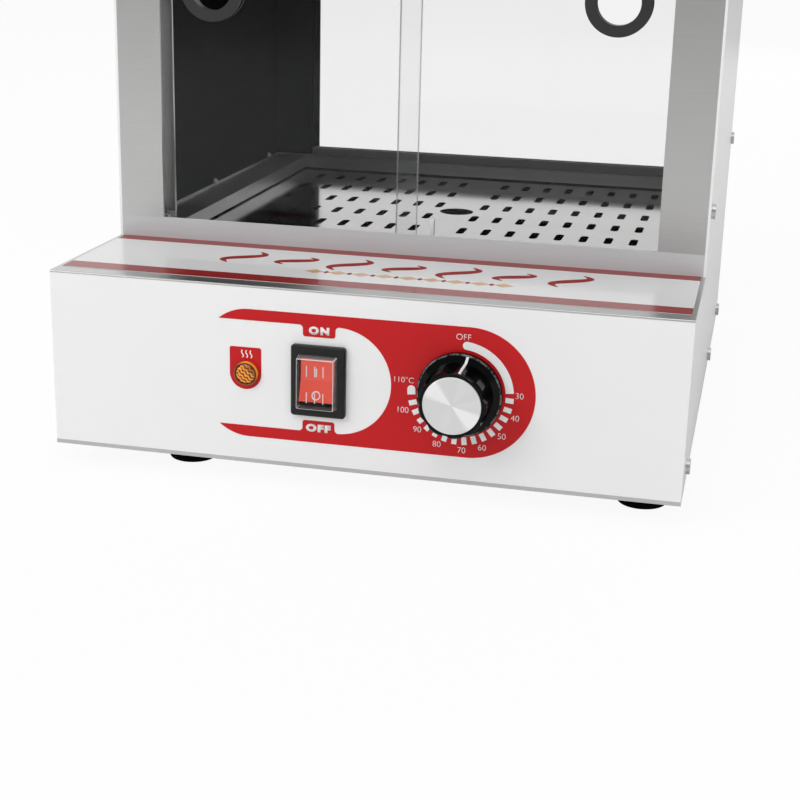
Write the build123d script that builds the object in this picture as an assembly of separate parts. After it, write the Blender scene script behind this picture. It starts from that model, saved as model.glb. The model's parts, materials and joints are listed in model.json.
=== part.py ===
from build123d import *
import os

# Hot dog steamer: a low white base with the controls, a steam well with a
# perforated tray, and a display cabinet above it with two sliding glass doors.
# Millimetres. Origin under the middle of the bounding box, +Z up, the user in front at -Y.

# ---- overall ----
WIDTH = 290.0
BODY_DEPTH = 352.0        # front panel face to rear cover face
HEIGHT = 390.0
SKIN = 1.2                # painted outer sheet
STEEL = 1.0               # stainless inner sheet
SEAT = 0.3                # clearance where one piece rests on or runs in another

# ---- base ----
FOOT_HEIGHT = 10.0
FOOT_RADIUS = 11.2
FOOT_TOP_RADIUS = 12.4
FOOT_LEFT = 57.5          # foot centre in from the left side; the right pair stands further out
FOOT_RIGHT = 18.5         # foot centre in from the right side
FOOT_INSET = 28.0         # foot centre behind the front face, and ahead of the rear face
FOOT_ROUND = 1.5
FOOT_RECESS_RADIUS = 5.0
FOOT_SCREW_RADIUS = 2.5
FOOT_HEAD_RADIUS = 4.6
FOOT_HEAD_HEIGHT = 2.6
FOOT_NUT_RADIUS = 4.6
FOOT_NUT_HEIGHT = 4.0
FOOT_SCREW_TIP = 1.5       # screw beyond its nut
BASE_EDGE = 1.9           # visible edge of the base plate
BASE_FLANGE = 14.0
PANEL_HEIGHT = 81.0       # base plate to the top of the ledge
LEDGE_DEPTH = 82.8
LEDGE_ROUND = 0.6
VENT_LENGTH = 44.0
VENT_WIDTH = 4.5
VENT_PITCH = 14.0
VENT_COUNT = 6

# ---- door track and doors ----
TRACK_HEIGHT = 10.4
TRACK_DEPTH = 18.2
TRACK_LIP = 1.5
TRACK_BACK_DROP = 3.9      # rib and rear lip of the lower track below its front lip, between the posts
GROOVE_WIDTH = 5.0
GROOVE_DEPTH = 7.0
GROOVE_PITCH = 8.5
GLASS = 4.0
GLASS_BEVEL = 0.4
TOP_TRACK_HEIGHT = 18.0
TOP_GROOVE_DEPTH = 14.0
TOP_TRACK_DROP = 38.0     # roof to the top of the upper track
GLASS_ENTRY = 12.0        # how far a door stands in the upper track
POST_WIDTH = 23.0         # side of the case to the inner edge of a front post
POST_ENTRY = 4.0          # how far a door stands in its post
POST_SLOT = 4.5
DOOR_OVERLAP = 12.0
PULL_HOLE_RADIUS = 12.0
PULL_RIM = 3.5
PULL_LIP = 1.0
PULL_EDGE = 30.0          # pull centre from the outer edge of the door
PULL_RISE = 118.0         # pull centre above the foot of the door
GUIDE_WIDTH = 1.8
GUIDE_DEPTH = 3.3
GUIDE_HEIGHT = 10.2
GUIDE_X = 13.0

# ---- well, tank and tray ----
WELL_MARGIN = 23.7        # side of the case to the well opening
WELL_LIP = 7.0            # rear of the door track to the well opening
WELL_REAR_MARGIN = 22.0   # well opening to the rear face
DECK_DROP = 5.9            # deck round the well, below the front lip of the track
WELL_SKIRT = 7.1
TANK_STEP = 8.0
TANK_FLOOR = 48.0         # height of the inside of the tank floor
TRAY_DROP = 8.0
TRAY_FLANGE = 5.0
TRAY_CLEARANCE = 0.4
SLOT_LENGTH = 16.0
SLOT_WIDTH = 4.2
SLOT_PITCH_X = 13.0
SLOT_PITCH_Y = 34.5
SLOT_SIDE_MARGIN = 3.5    # least distance from a slot to the side of the tray
SLOT_END_MARGIN = 8.0     # least distance from a slot to the front and rear of the tray
FINGER_HOLE_RADIUS = 9.4

# ---- cabinet ----
WALL_SPACE = 5.0          # side of the case to the face of the inner wall
WALL_FLANGE = 3.0
REAR_POST_WIDTH = 27.0    # side of the case to the inner edge of a rear post
CEILING_DROP = 16.0
REAR_GLASS_SETBACK = 8.0  # rear of the well to the rear glass
REAR_GLASS_ENTRY = 5.0
CHANNEL_WALL = 1.5
CHANNEL_BASE = 0.8
CHANNEL_HEIGHT = 10.0
CHANNEL_FOOT_HEIGHT = 5.0
RACK_HEIGHT = 245.0
RACK_WIRE = 1.6
RACK_FRAME_WIRE = 2.5
RACK_WIRES = 15
RACK_MARGIN = 3.0
BRACKET_SIZE = 12.0
ROOF_LIP = 7.0
ROOF_ROUND = 2.0

# ---- switch ----
SWITCH_X = -17.5
SWITCH_Z = 40.0           # above the base plate, like the other controls
BEZEL_WIDTH = 25.0
BEZEL_HEIGHT = 32.7
BEZEL_DEPTH = 2.6
BEZEL_ROUND = 1.4
BEZEL_BEVEL = 0.6
SWITCH_BODY_WIDTH = 21.6
SWITCH_BODY_HEIGHT = 27.6
SWITCH_BODY_DEPTH = 24.0
ROCKER_WIDTH = 15.4
ROCKER_HEIGHT = 19.4
ROCKER_TILT = 10.0
ROCKER_PIVOT = 2.0        # behind the panel face
ROCKER_GAP = 0.4
ROCKER_REACH = 6.2        # ends of the face ahead of the pivot
ROCKER_VALLEY = 4.8       # middle of the face ahead of the pivot
ROCKER_TAIL = 4.5
ROCKER_PIN_RADIUS = 1.2
CAVITY_HEIGHT = 22.6
CAVITY_DEPTH = 12.0
COVER_WIDTH = 18.2
COVER_HEIGHT = 24.4
COVER_DEPTH = 5.0
COVER_WALL = 0.6
COVER_ROUND = 1.2
COVER_TAPER = 7.0         # degrees, the front smaller than the foot

# ---- lamp ----
LAMP_X = -51.2
LAMP_Z = 40.7
LENS_RADIUS = 5.7
LENS_DEPTH = 2.8
LENS_ROUND = 1.6
LAMP_BODY_RADIUS = 4.4
LAMP_BODY_LENGTH = 22.0
LAMP_COLLAR_RADIUS = 6.6
SPADE_LENGTH = 8.0
SPADE_WIDTH = 4.8
SPADE_THICKNESS = 0.8

# ---- knob and thermostat ----
KNOB_X = 46.6
KNOB_Z = 40.1
KNOB_REACH = 19.5         # knob face ahead of the panel
SKIRT_RADIUS = 19.0
SKIRT_HEIGHT = 3.4
SKIRT_WALL = 1.6
KNOB_GAP = 1.2
KNOB_EDGE = 0.8
CAP_ROUND = 0.3
KNOB_BODY_RADIUS = 15.4
KNOB_FRONT_RADIUS = 15.0
KNOB_CAP_RADIUS = 12.8
KNOB_CAP_DEPTH = 1.0
FLUTE_COUNT = 9
FLUTE_RADIUS = 6.0
FLUTE_DEPTH = 1.5
POINTER_ANGLE = 79.0      # from +X towards +Z, at the OFF mark
POINTER_WIDTH = 1.1
POINTER_RISE = 0.35
SHAFT_RADIUS = 3.0
SHAFT_CLEARANCE = 0.05
SHAFT_ENTRY = 12.0        # length of shaft inside the knob
THERMOSTAT_BORE = 8.0
THERMOSTAT_WIDTH = 38.0
THERMOSTAT_HEIGHT = 34.0
THERMOSTAT_DEPTH = 24.0
THERMOSTAT_SCREW_X = 13.0
CAPILLARY_RADIUS = 1.0
BULB_RADIUS = 3.0
BULB_LENGTH = 70.0
BULB_X = -10.0
BULB_Z = 58.0
CAPILLARY_BEND = 10.0

# ---- printed labels ----
LABEL_THICKNESS = 0.15
LEDGE_LABEL_FRONT = 9.3
LEDGE_LABEL_MARGIN = 2.0
BAND_TOP = 70.3           # red control band, above the base plate
BAND_BOTTOM = 10.7
BAND_LEFT = -64.3
BAND_BAR = 5.1            # height of each bar at the left
BAND_TAPER = 14.0
BAND_RIGHT = 79.8         # rightmost point of the band
BAND_WHITE_RIGHT = 15.5   # rightmost point of the white field inside the band
TAB_WIDTH = 14.9
TAB_SHIFT = -0.1          # tab middle from the switch
TAB_HEIGHT = 5.2
TAB_ROUND = 1.2
TAB_FLARE = 1.8
SHIELD_WIDTH = 14.8
SHIELD_TOP = 52.6
SHIELD_ROUND = 1.0
SHIELD_SHIFT = -0.6       # shield middle from the lamp
SHIELD_DROP = 0.3

# ---- heater and electrics ----
HEATER_RADIUS = 3.2
HEATER_MARGIN = 30.4      # side of the tank to the heater's runs
HEATER_BEND = 24.0
CLAMP_WIDTH = 12.0
CLAMP_THICKNESS = 1.5
STUD_RADIUS = 2.0
STUD_NUT_HEIGHT = 3.2
EARTH_LENGTH = 14.0
SHIELD_PLATE_Z = 30.0
SHIELD_PLATE_MARGIN = 45.0  # side of the case to the heat shield
CUTOUT_RADIUS = 8.0
CUTOUT_DEPTH = 9.0
TERMINAL_LENGTH = 42.0
TERMINAL_DEPTH = 22.0
TERMINAL_HEIGHT = 18.0
TERMINAL_POLES = 4
TERMINAL_WELL_RADIUS = 3.0
EARTH_X = -45.0

# ---- drain valve and cable gland ----
DRAIN_X = 60.0
DRAIN_RISE = 7.0          # pipe centre above the tank floor
PIPE_RADIUS = 6.0
PIPE_BORE = 4.2
VALVE_RADIUS = 10.5
VALVE_BEVEL = 1.5
VALVE_REACH = 28.0        # valve body behind the rear cover
VALVE_AXIS = 16.0         # stem axis behind the rear cover
SPOUT_RADIUS = 6.5
SPOUT_DROP = 26.0
SPOUT_COLLAR_RADIUS = 9.0
SPOUT_COLLAR_HEIGHT = 1.5 # collar below the valve's barrel
BALL_RADIUS = 6.6
BALL_CLEARANCE = 0.1
BALL_PORT = 3.8
STEM_RADIUS = 2.6
STEM_NUT_RADIUS = 4.8
STEM_BOSS_RADIUS = 6.0
STEM_BOSS_HEIGHT = 15.0   # above the pipe centre
LEVER_LENGTH = 46.0
LEVER_WIDTH = 9.0
LEVER_THICKNESS = 2.5
GRIP_LENGTH = 30.0
GRIP_WALL = 1.2
GLAND_X = -84.0
GLAND_Z = 34.0            # above the base plate
GLAND_BORE = 4.0
GLAND_THREAD = 7.5
GLAND_NUT = 10.5
GLAND_DOME_RADIUS = 9.0
GLAND_DOME_LENGTH = 13.0
GLAND_DOME_ROUND = 3.5
GLAND_NUT_THICKNESS = 5.0

# ---- fasteners ----
SCREW_RADIUS = 1.9
SCREW_HEAD_RADIUS = 3.6
SCREW_HEAD_HEIGHT = 1.8
SCREW_LENGTH = 7.0
RIVET_RADIUS = 1.8
RIVET_COUNT = 2
RIVET_FIRST = 101.0       # behind the front edge of the well
RIVET_LAST = 20.0         # ahead of the rear edge of the well
HOLE_CLEARANCE = 0.2

# ---- levels and planes worked out from the sizes above ----
FRONT = KNOB_REACH - (KNOB_REACH + BODY_DEPTH + VALVE_REACH) / 2
REAR = FRONT + BODY_DEPTH
HALF = WIDTH / 2
INNER_HALF = HALF - SKIN
OPENING_HALF = HALF - POST_WIDTH
WALL_HALF = HALF - WALL_SPACE
REAR_POST_HALF = HALF - REAR_POST_WIDTH
WELL_HALF = HALF - WELL_MARGIN
SHIELD_PLATE_HALF = HALF - SHIELD_PLATE_MARGIN
Z_BASE = FOOT_HEIGHT
Z_FLOOR = Z_BASE + BASE_EDGE
Z_LEDGE = Z_FLOOR + PANEL_HEIGHT
Z_RIM = Z_LEDGE + TRACK_HEIGHT
Z_RIB = Z_RIM - TRACK_BACK_DROP
Z_DECK = Z_RIM - DECK_DROP
Z_TRAY = Z_DECK - TRAY_DROP
Z_TRAY_SEAT = Z_TRAY - TRAY_FLANGE - SEAT
Z_ROOF = HEIGHT - SKIN
Z_TOP_TRACK = Z_ROOF - TOP_TRACK_DROP + SKIN
Z_TRACK_FOOT = Z_TOP_TRACK - TOP_TRACK_HEIGHT
Z_CEILING = HEIGHT - CEILING_DROP
TRACK_FRONT = FRONT + LEDGE_DEPTH
TRACK_REAR = TRACK_FRONT + TRACK_DEPTH
OUTER_GLASS = TRACK_FRONT + TRACK_LIP + GROOVE_WIDTH / 2
INNER_GLASS = OUTER_GLASS + GROOVE_PITCH
DOOR_FOOT = Z_RIM - GROOVE_DEPTH + SEAT
DOOR_TOP = Z_TRACK_FOOT + GLASS_ENTRY
DOOR_OUTER = OPENING_HALF + POST_ENTRY
DOOR_INNER = DOOR_OVERLAP / 2
WELL_Y0 = TRACK_REAR + WELL_LIP
WELL_Y1 = REAR - WELL_REAR_MARGIN
WELL_MIDDLE = (WELL_Y0 + WELL_Y1) / 2
TANK_HALF = WELL_HALF - TANK_STEP
HEATER_HALF = TANK_HALF - HEATER_MARGIN
TANK_Y0 = WELL_Y0 + TANK_STEP
TANK_Y1 = WELL_Y1 - TANK_STEP
TANK_UNDER = TANK_FLOOR - STEEL
REAR_GLASS_Y = WELL_Y1 + REAR_GLASS_SETBACK
REAR_POST_Y = WELL_Y1 + STEEL
DRAIN_Z = TANK_FLOOR + DRAIN_RISE
VALVE_Y = REAR + VALVE_AXIS
SWITCH_HEIGHT = Z_FLOOR + SWITCH_Z
LAMP_HEIGHT = Z_FLOOR + LAMP_Z
KNOB_HEIGHT = Z_FLOOR + KNOB_Z
GLAND_HEIGHT = Z_FLOOR + GLAND_Z
HEATER_Z = TANK_UNDER - HEATER_RADIUS - 0.05
THERMOSTAT_REAR = FRONT + SKIN + THERMOSTAT_DEPTH
FOOT_PLACES = [
    (x, y)
    for y in (FRONT + FOOT_INSET, REAR - FOOT_INSET)
    for x in (FOOT_LEFT - HALF, HALF - FOOT_RIGHT)
]
TOWARDS_FRONT = (0, -1, 0)
TOWARDS_REAR = (0, 1, 0)


def block(x0, x1, y0, y1, z0, z1):
    """A box between two corners."""
    return Pos((x0 + x1) / 2, (y0 + y1) / 2, (z0 + z1) / 2) * Box(x1 - x0, y1 - y0, z1 - z0)


def rod(start, direction, radius, length):
    """A round bar from a point along a direction."""
    bar = Cylinder(radius, length, align=(Align.CENTER, Align.CENTER, Align.MIN))
    return Plane(origin=start, z_dir=direction) * bar


def hexagon(start, direction, radius, length):
    """A hexagonal bar, radius to its corners."""
    return Plane(origin=start, z_dir=direction) * extrude(RegularPolygon(radius, 6), length)


def drill(body, cutters):
    """Cut a list of tools out of a body."""
    for cutter in cutters:
        body = body - cutter
    return body


def screw(face, direction):
    """A pan-head screw: its head stands on a face and its shank runs along direction."""
    start = Vector(*face) - Vector(*direction) * SCREW_HEAD_HEIGHT
    head = rod(tuple(start), direction, SCREW_HEAD_RADIUS, SCREW_HEAD_HEIGHT)
    return head + rod(face, direction, SCREW_RADIUS, SCREW_LENGTH)


def screw_hole(face, direction):
    """The clearance hole that a screw runs through."""
    return rod(face, direction, SCREW_RADIUS + HOLE_CLEARANCE, SCREW_LENGTH + HOLE_CLEARANCE)


# ---- base ----

def base_plate():
    """Floor plate with a folded flange behind each panel, vents and screw holes."""
    plate = block(-HALF, HALF, FRONT, REAR, Z_BASE, Z_FLOOR)
    outer = block(-INNER_HALF, INNER_HALF, FRONT + SKIN, REAR - SKIN, Z_FLOOR, Z_FLOOR + BASE_FLANGE)
    inner = block(
        -INNER_HALF + STEEL, INNER_HALF - STEEL,
        FRONT + SKIN + STEEL, REAR - SKIN - STEEL, Z_FLOOR, Z_FLOOR + BASE_FLANGE,
    )
    vents = []
    for side in (-1, 1):
        for i in range(VENT_COUNT):
            y = WELL_MIDDLE + (i - (VENT_COUNT - 1) / 2) * VENT_PITCH
            slot = extrude(SlotOverall(VENT_LENGTH, VENT_WIDTH), BASE_EDGE)
            vents.append(Pos(side * TANK_HALF / 2, y, Z_BASE) * slot)
    foot_hole = FOOT_SCREW_RADIUS + HOLE_CLEARANCE
    feet = [rod((x, y, Z_BASE), (0, 0, 1), foot_hole, BASE_EDGE) for x, y in FOOT_PLACES]
    sides = [screw_hole(face, direction) for face, direction in base_side_screws() + rear_base_screws()]
    return drill(plate + (outer - inner), vents + feet + sides)


def front_panel():
    """White front sheet with the openings for the switch, the lamp and the thermostat."""
    sheet = block(-HALF, HALF, FRONT, FRONT + SKIN, Z_FLOOR, Z_LEDGE - STEEL)
    switch = block(
        SWITCH_X - SWITCH_BODY_WIDTH / 2 - HOLE_CLEARANCE, SWITCH_X + SWITCH_BODY_WIDTH / 2 + HOLE_CLEARANCE,
        FRONT, FRONT + SKIN,
        SWITCH_HEIGHT - SWITCH_BODY_HEIGHT / 2 - HOLE_CLEARANCE,
        SWITCH_HEIGHT + SWITCH_BODY_HEIGHT / 2 + HOLE_CLEARANCE,
    )
    lamp = rod((LAMP_X, FRONT, LAMP_HEIGHT), TOWARDS_REAR, LAMP_BODY_RADIUS + HOLE_CLEARANCE, SKIN)
    shaft = rod((KNOB_X, FRONT, KNOB_HEIGHT), TOWARDS_REAR, SHAFT_RADIUS + 2 * HOLE_CLEARANCE, SKIN)
    screws = [screw_hole(face, direction) for face, direction in thermostat_screw_places()]
    return drill(sheet, [switch, lamp, shaft] + screws)


def side_base_panel(side):
    """White side sheet of the base, behind the front panel."""
    x0, x1 = sorted((side * HALF, side * INNER_HALF))
    sheet = block(x0, x1, FRONT + SKIN, REAR, Z_FLOOR, Z_LEDGE - STEEL)
    return drill(sheet, [screw_hole(face, direction) for face, direction in base_side_screws()])


def rear_base_panel():
    """White rear cover of the base with louvre slots, the gland hole and the drain hole."""
    sheet = block(-INNER_HALF, INNER_HALF, REAR - SKIN, REAR, Z_FLOOR, Z_DECK - STEEL)
    louvres = []
    for i in range(VENT_COUNT):
        z = Z_LEDGE - VENT_PITCH / 2 - i * VENT_PITCH / 2
        slot = extrude(SlotOverall(VENT_LENGTH, VENT_WIDTH), SKIN)
        louvres.append(Pos(-DRAIN_X / 2, REAR, z) * Rot(90, 0, 0) * slot)
    gland = rod((GLAND_X, REAR - SKIN, GLAND_HEIGHT), TOWARDS_REAR, GLAND_THREAD + HOLE_CLEARANCE, SKIN)
    drain = rod((DRAIN_X, REAR - SKIN, DRAIN_Z), TOWARDS_REAR, PIPE_RADIUS + HOLE_CLEARANCE, SKIN)
    screws = [screw_hole(face, direction) for face, direction in rear_base_screws()]
    return drill(sheet, louvres + [gland, drain] + screws)


def front_ledge():
    """Stainless ledge over the controls; it runs back under the door track."""
    sheet = block(-HALF, HALF, FRONT, TRACK_FRONT, Z_LEDGE - STEEL, Z_LEDGE)
    edge = sheet.edges().filter_by(Axis.X).group_by(Axis.Y)[0].group_by(Axis.Z)[-1]
    sheet = fillet(edge, LEDGE_ROUND)
    return sheet + block(-INNER_HALF, INNER_HALF, TRACK_FRONT, TRACK_REAR, Z_LEDGE - STEEL, Z_LEDGE)


def foot(place):
    """Rubber disc foot with a recess for its screw head."""
    x, y = place
    body = Pos(x, y, Z_BASE / 2) * Cone(FOOT_RADIUS, FOOT_TOP_RADIUS, FOOT_HEIGHT)
    rim = body.edges().filter_by(GeomType.CIRCLE).group_by(Axis.Z)[0]
    body = fillet(rim, FOOT_ROUND)
    recess = rod((x, y, 0), (0, 0, 1), FOOT_RECESS_RADIUS, FOOT_HEIGHT / 2)
    bore = rod((x, y, 0), (0, 0, 1), FOOT_SCREW_RADIUS + HOLE_CLEARANCE, FOOT_HEIGHT)
    return body - recess - bore


def foot_screw(place):
    """Machine screw up through a foot and the base plate, with its nut."""
    x, y = place
    seat = FOOT_HEIGHT / 2
    length = Z_FLOOR + FOOT_NUT_HEIGHT + FOOT_SCREW_TIP - seat
    head = rod((x, y, seat), (0, 0, -1), FOOT_HEAD_RADIUS, FOOT_HEAD_HEIGHT)
    shank = rod((x, y, seat), (0, 0, 1), FOOT_SCREW_RADIUS, length)
    nut = hexagon((x, y, Z_FLOOR), (0, 0, 1), FOOT_NUT_RADIUS, FOOT_NUT_HEIGHT)
    return head + shank + nut


def base_side_screws():
    """Places of the screws that hold the base side panels to the base plate flange."""
    z = Z_FLOOR + BASE_FLANGE / 2
    places = []
    for side in (-1, 1):
        for y in (FRONT + FOOT_INSET, WELL_MIDDLE, REAR - FOOT_INSET):
            places.append(((side * HALF, y, z), (-side, 0, 0)))
    return places


def rear_base_screws():
    """Places of the screws that hold the rear cover to the base plate flange."""
    z = Z_FLOOR + BASE_FLANGE / 2
    spots = (-HALF + FOOT_INSET / 2, 0.0, HALF - FOOT_INSET / 2)
    return [((x, REAR, z), TOWARDS_FRONT) for x in spots]


def side_screws():
    """Places of the screws that hold the cabinet side panels to the posts."""
    places = []
    front_y = (TRACK_FRONT + TRACK_REAR) / 2
    rear_y = (REAR_POST_Y + REAR - SKIN) / 2
    for side in (-1, 1):
        for y in (front_y, rear_y):
            for z in (Z_RIM + TOP_TRACK_DROP / 2, Z_TRACK_FOOT - TOP_TRACK_DROP / 2):
                places.append(((side * HALF, y, z), (-side, 0, 0)))
    return places


# ---- well, tank and tray ----

def well_deck():
    """Stainless deck round the well, with the folded skirt that guards the tray."""
    plate = block(-INNER_HALF, INNER_HALF, TRACK_REAR, REAR, Z_DECK - STEEL, Z_DECK)
    front_fold = block(-INNER_HALF, INNER_HALF, TRACK_REAR, TRACK_REAR + STEEL, Z_LEDGE - STEEL, Z_DECK - STEEL)
    skirt = block(
        -WELL_HALF - STEEL, WELL_HALF + STEEL, WELL_Y0 - STEEL, WELL_Y1 + STEEL,
        Z_DECK - WELL_SKIRT, Z_DECK - STEEL,
    )
    opening = block(-WELL_HALF, WELL_HALF, WELL_Y0, WELL_Y1, Z_DECK - WELL_SKIRT, Z_DECK)
    return plate + front_fold + skirt - opening


def open_box(half, y0, y1, z0, z1, wall):
    """A box open at the top, measured on its inside, with walls and a floor."""
    outer = block(-half - wall, half + wall, y0 - wall, y1 + wall, z0 - wall, z1)
    return outer - block(-half, half, y0, y1, z0, z1)


def water_tank():
    """Stepped tank: the skirt of the deck stands in it and its step carries the tray."""
    skirt_half = WELL_HALF + STEEL
    upper = open_box(skirt_half, WELL_Y0 - STEEL, WELL_Y1 + STEEL, Z_TRAY_SEAT, Z_DECK - STEEL, STEEL)
    lower = open_box(TANK_HALF, TANK_Y0, TANK_Y1, TANK_FLOOR, Z_TRAY_SEAT, STEEL)
    throat = block(-TANK_HALF, TANK_HALF, TANK_Y0, TANK_Y1, TANK_FLOOR, Z_TRAY_SEAT)
    outlet = rod((DRAIN_X, TANK_Y1, DRAIN_Z), TOWARDS_REAR, PIPE_RADIUS, STEEL)
    return upper + lower - throat - outlet


def tray_slots():
    """The grid of long slots, with the plain strip in the middle."""
    slot = Rot(0, 0, 90) * SlotOverall(SLOT_LENGTH, SLOT_WIDTH)
    half = WELL_HALF - TRAY_CLEARANCE
    depth = WELL_Y1 - WELL_Y0 - 2 * TRAY_CLEARANCE
    columns = int((half - SLOT_SIDE_MARGIN - SLOT_WIDTH / 2) / SLOT_PITCH_X)
    rows = int((depth - 2 * SLOT_END_MARGIN - SLOT_LENGTH) / SLOT_PITCH_Y) + 1
    slots = []
    for column in range(-columns, columns + 1):
        if column == 0:
            continue
        for row in range(rows):
            y = WELL_MIDDLE + (row - (rows - 1) / 2) * SLOT_PITCH_Y
            slots.append(Pos(column * SLOT_PITCH_X, y, Z_TRAY - STEEL) * slot)
    return slots


def perforated_tray():
    """Polished tray with turned-down edges, rows of slots and a finger hole."""
    half = WELL_HALF - TRAY_CLEARANCE
    y0 = WELL_Y0 + TRAY_CLEARANCE
    y1 = WELL_Y1 - TRAY_CLEARANCE
    shell = block(-half, half, y0, y1, Z_TRAY - TRAY_FLANGE, Z_TRAY)
    shell -= block(-half + STEEL, half - STEEL, y0 + STEEL, y1 - STEEL, Z_TRAY - TRAY_FLANGE, Z_TRAY - STEEL)
    slots = extrude(Sketch(children=tray_slots()), STEEL, dir=(0, 0, 1))
    finger = rod((0, WELL_MIDDLE, Z_TRAY - STEEL), (0, 0, 1), FINGER_HOLE_RADIUS, STEEL)
    return shell - slots - finger


# ---- door track, posts and doors ----

def grooves(z0, z1):
    """The pair of channels that the doors run in."""
    return [
        block(-INNER_HALF, INNER_HALF, y - GROOVE_WIDTH / 2, y + GROOVE_WIDTH / 2, z0, z1)
        for y in (OUTER_GLASS, INNER_GLASS)
    ]


def lower_track():
    """Lower door track; its front face is the grey step above the ledge, and behind it the rib is low."""
    bar = block(-INNER_HALF, INNER_HALF, TRACK_FRONT, TRACK_REAR, Z_LEDGE, Z_RIM)
    low_back = block(-OPENING_HALF, OPENING_HALF, TRACK_FRONT + TRACK_LIP, TRACK_REAR, Z_RIB, Z_RIM)
    return drill(bar, grooves(Z_RIM - GROOVE_DEPTH, Z_RIM) + [low_back])


def upper_track():
    """Upper door track with the deeper channels that the doors are lifted into."""
    bar = block(-INNER_HALF, INNER_HALF, TRACK_FRONT, TRACK_REAR, Z_TRACK_FOOT, Z_TOP_TRACK)
    return drill(bar, grooves(Z_TRACK_FOOT, Z_TRACK_FOOT + TOP_GROOVE_DEPTH))


def front_post(side):
    """Folded front post, hollow behind and with the slot that a closed door stands in."""
    x0, x1 = sorted((side * INNER_HALF, side * OPENING_HALF))
    s0, s1 = sorted((side * (OPENING_HALF + POST_SLOT), side * OPENING_HALF))
    h0, h1 = sorted((side * (INNER_HALF - STEEL), side * (OPENING_HALF + POST_SLOT + STEEL)))
    post = block(x0, x1, TRACK_FRONT, TRACK_REAR, Z_RIM, Z_TRACK_FOOT)
    slot = block(s0, s1, TRACK_FRONT + TRACK_LIP, TRACK_REAR - TRACK_LIP, Z_RIM, Z_TRACK_FOOT)
    hollow = block(h0, h1, TRACK_FRONT + STEEL, TRACK_REAR - STEEL, Z_RIM, Z_TRACK_FOOT)
    return drill(post - slot - hollow, [screw_hole(face, direction) for face, direction in side_screws()])


def rear_post(side):
    """Folded rear post, hollow, with the channel for the rear glass."""
    x0, x1 = sorted((side * INNER_HALF, side * REAR_POST_HALF))
    h0, h1 = sorted((side * (INNER_HALF - STEEL), side * (REAR_POST_HALF + REAR_GLASS_ENTRY + 2 * STEEL)))
    g0, g1 = sorted((side * (REAR_POST_HALF + REAR_GLASS_ENTRY + STEEL), side * REAR_POST_HALF))
    post = block(x0, x1, REAR_POST_Y, REAR - SKIN, Z_DECK, Z_CEILING)
    hollow = block(h0, h1, REAR_POST_Y + STEEL, REAR - SKIN - STEEL, Z_DECK, Z_CEILING)
    groove = block(
        g0, g1, REAR_GLASS_Y - GLASS / 2 - SEAT, REAR_GLASS_Y + GLASS / 2 + SEAT, Z_DECK, Z_CEILING
    )
    return drill(post - hollow - groove, [screw_hole(face, direction) for face, direction in side_screws()])


def pull_centre(side):
    """Middle of a door's finger pull."""
    y = OUTER_GLASS if side < 0 else INNER_GLASS
    return (side * (DOOR_OUTER - PULL_EDGE), y, DOOR_FOOT + PULL_RISE)


def door_glass(side):
    """Clear door pane; the left one runs in the outer channel, the right one in the inner."""
    x0, x1 = sorted((side * DOOR_OUTER, -side * DOOR_INNER))
    cx, cy, cz = pull_centre(side)
    pane = block(x0, x1, cy - GLASS / 2, cy + GLASS / 2, DOOR_FOOT, DOOR_TOP)
    pane = chamfer(pane.edges().filter_by(Axis.Z), GLASS_BEVEL)
    return pane - rod((cx, cy - GLASS / 2, cz), TOWARDS_REAR, PULL_HOLE_RADIUS, GLASS)


def door_pull(side):
    """Round finger grommet clipped into the door's hole."""
    cx, cy, cz = pull_centre(side)
    start = cy - GLASS / 2 - PULL_LIP
    rim = PULL_HOLE_RADIUS + PULL_RIM
    ring = rod((cx, start, cz), TOWARDS_REAR, rim, GLASS + 2 * PULL_LIP)
    waist = rod((cx, cy - GLASS / 2, cz), TOWARDS_REAR, rim, GLASS)
    waist -= rod((cx, cy - GLASS / 2, cz), TOWARDS_REAR, PULL_HOLE_RADIUS, GLASS)
    hole = rod((cx, start, cz), TOWARDS_REAR, PULL_HOLE_RADIUS - PULL_RIM / 2, GLASS + 2 * PULL_LIP)
    return ring - waist - hole


def door_guide():
    """Small clear block on the track's middle rib that keeps the doors apart."""
    middle = (OUTER_GLASS + INNER_GLASS) / 2
    return block(
        GUIDE_X - GUIDE_WIDTH / 2, GUIDE_X + GUIDE_WIDTH / 2,
        middle - GUIDE_DEPTH / 2, middle + GUIDE_DEPTH / 2, Z_RIB, Z_RIB + GUIDE_HEIGHT,
    )


# ---- cabinet ----

def side_panel(side):
    """White outer side sheet of the cabinet."""
    x0, x1 = sorted((side * HALF, side * INNER_HALF))
    sheet = block(x0, x1, TRACK_FRONT, REAR, Z_LEDGE - STEEL, Z_ROOF)
    return drill(sheet, [screw_hole(face, direction) for face, direction in side_screws()])


def inner_wall(side):
    """Stainless inner side wall with a foot flange riveted to the deck."""
    x0, x1 = sorted((side * WALL_HALF, side * (WALL_HALF + STEEL)))
    f0, f1 = sorted((side * WALL_HALF, side * (WALL_HALF + WALL_FLANGE)))
    wall = block(x0, x1, TRACK_REAR, WELL_Y1 + STEEL, Z_DECK, Z_CEILING)
    flange = block(f0, f1, TRACK_REAR, WELL_Y1 + STEEL, Z_DECK, Z_DECK + STEEL)
    return wall + flange


def wall_rivets():
    """Domed rivets along the foot of both inner walls."""
    first = WELL_Y0 + RIVET_FIRST
    pitch = (WELL_Y1 - RIVET_LAST - first) / (RIVET_COUNT - 1)
    rivets = []
    for side in (-1, 1):
        for i in range(RIVET_COUNT):
            y = first + i * pitch
            head = Pos(side * WALL_HALF, y, Z_DECK + RIVET_RADIUS + SEAT) * Sphere(RIVET_RADIUS)
            inside = block(-WALL_HALF, WALL_HALF, TRACK_REAR, WELL_Y1, Z_DECK, Z_CEILING)
            rivets.append(head & inside)
    return rivets


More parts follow.
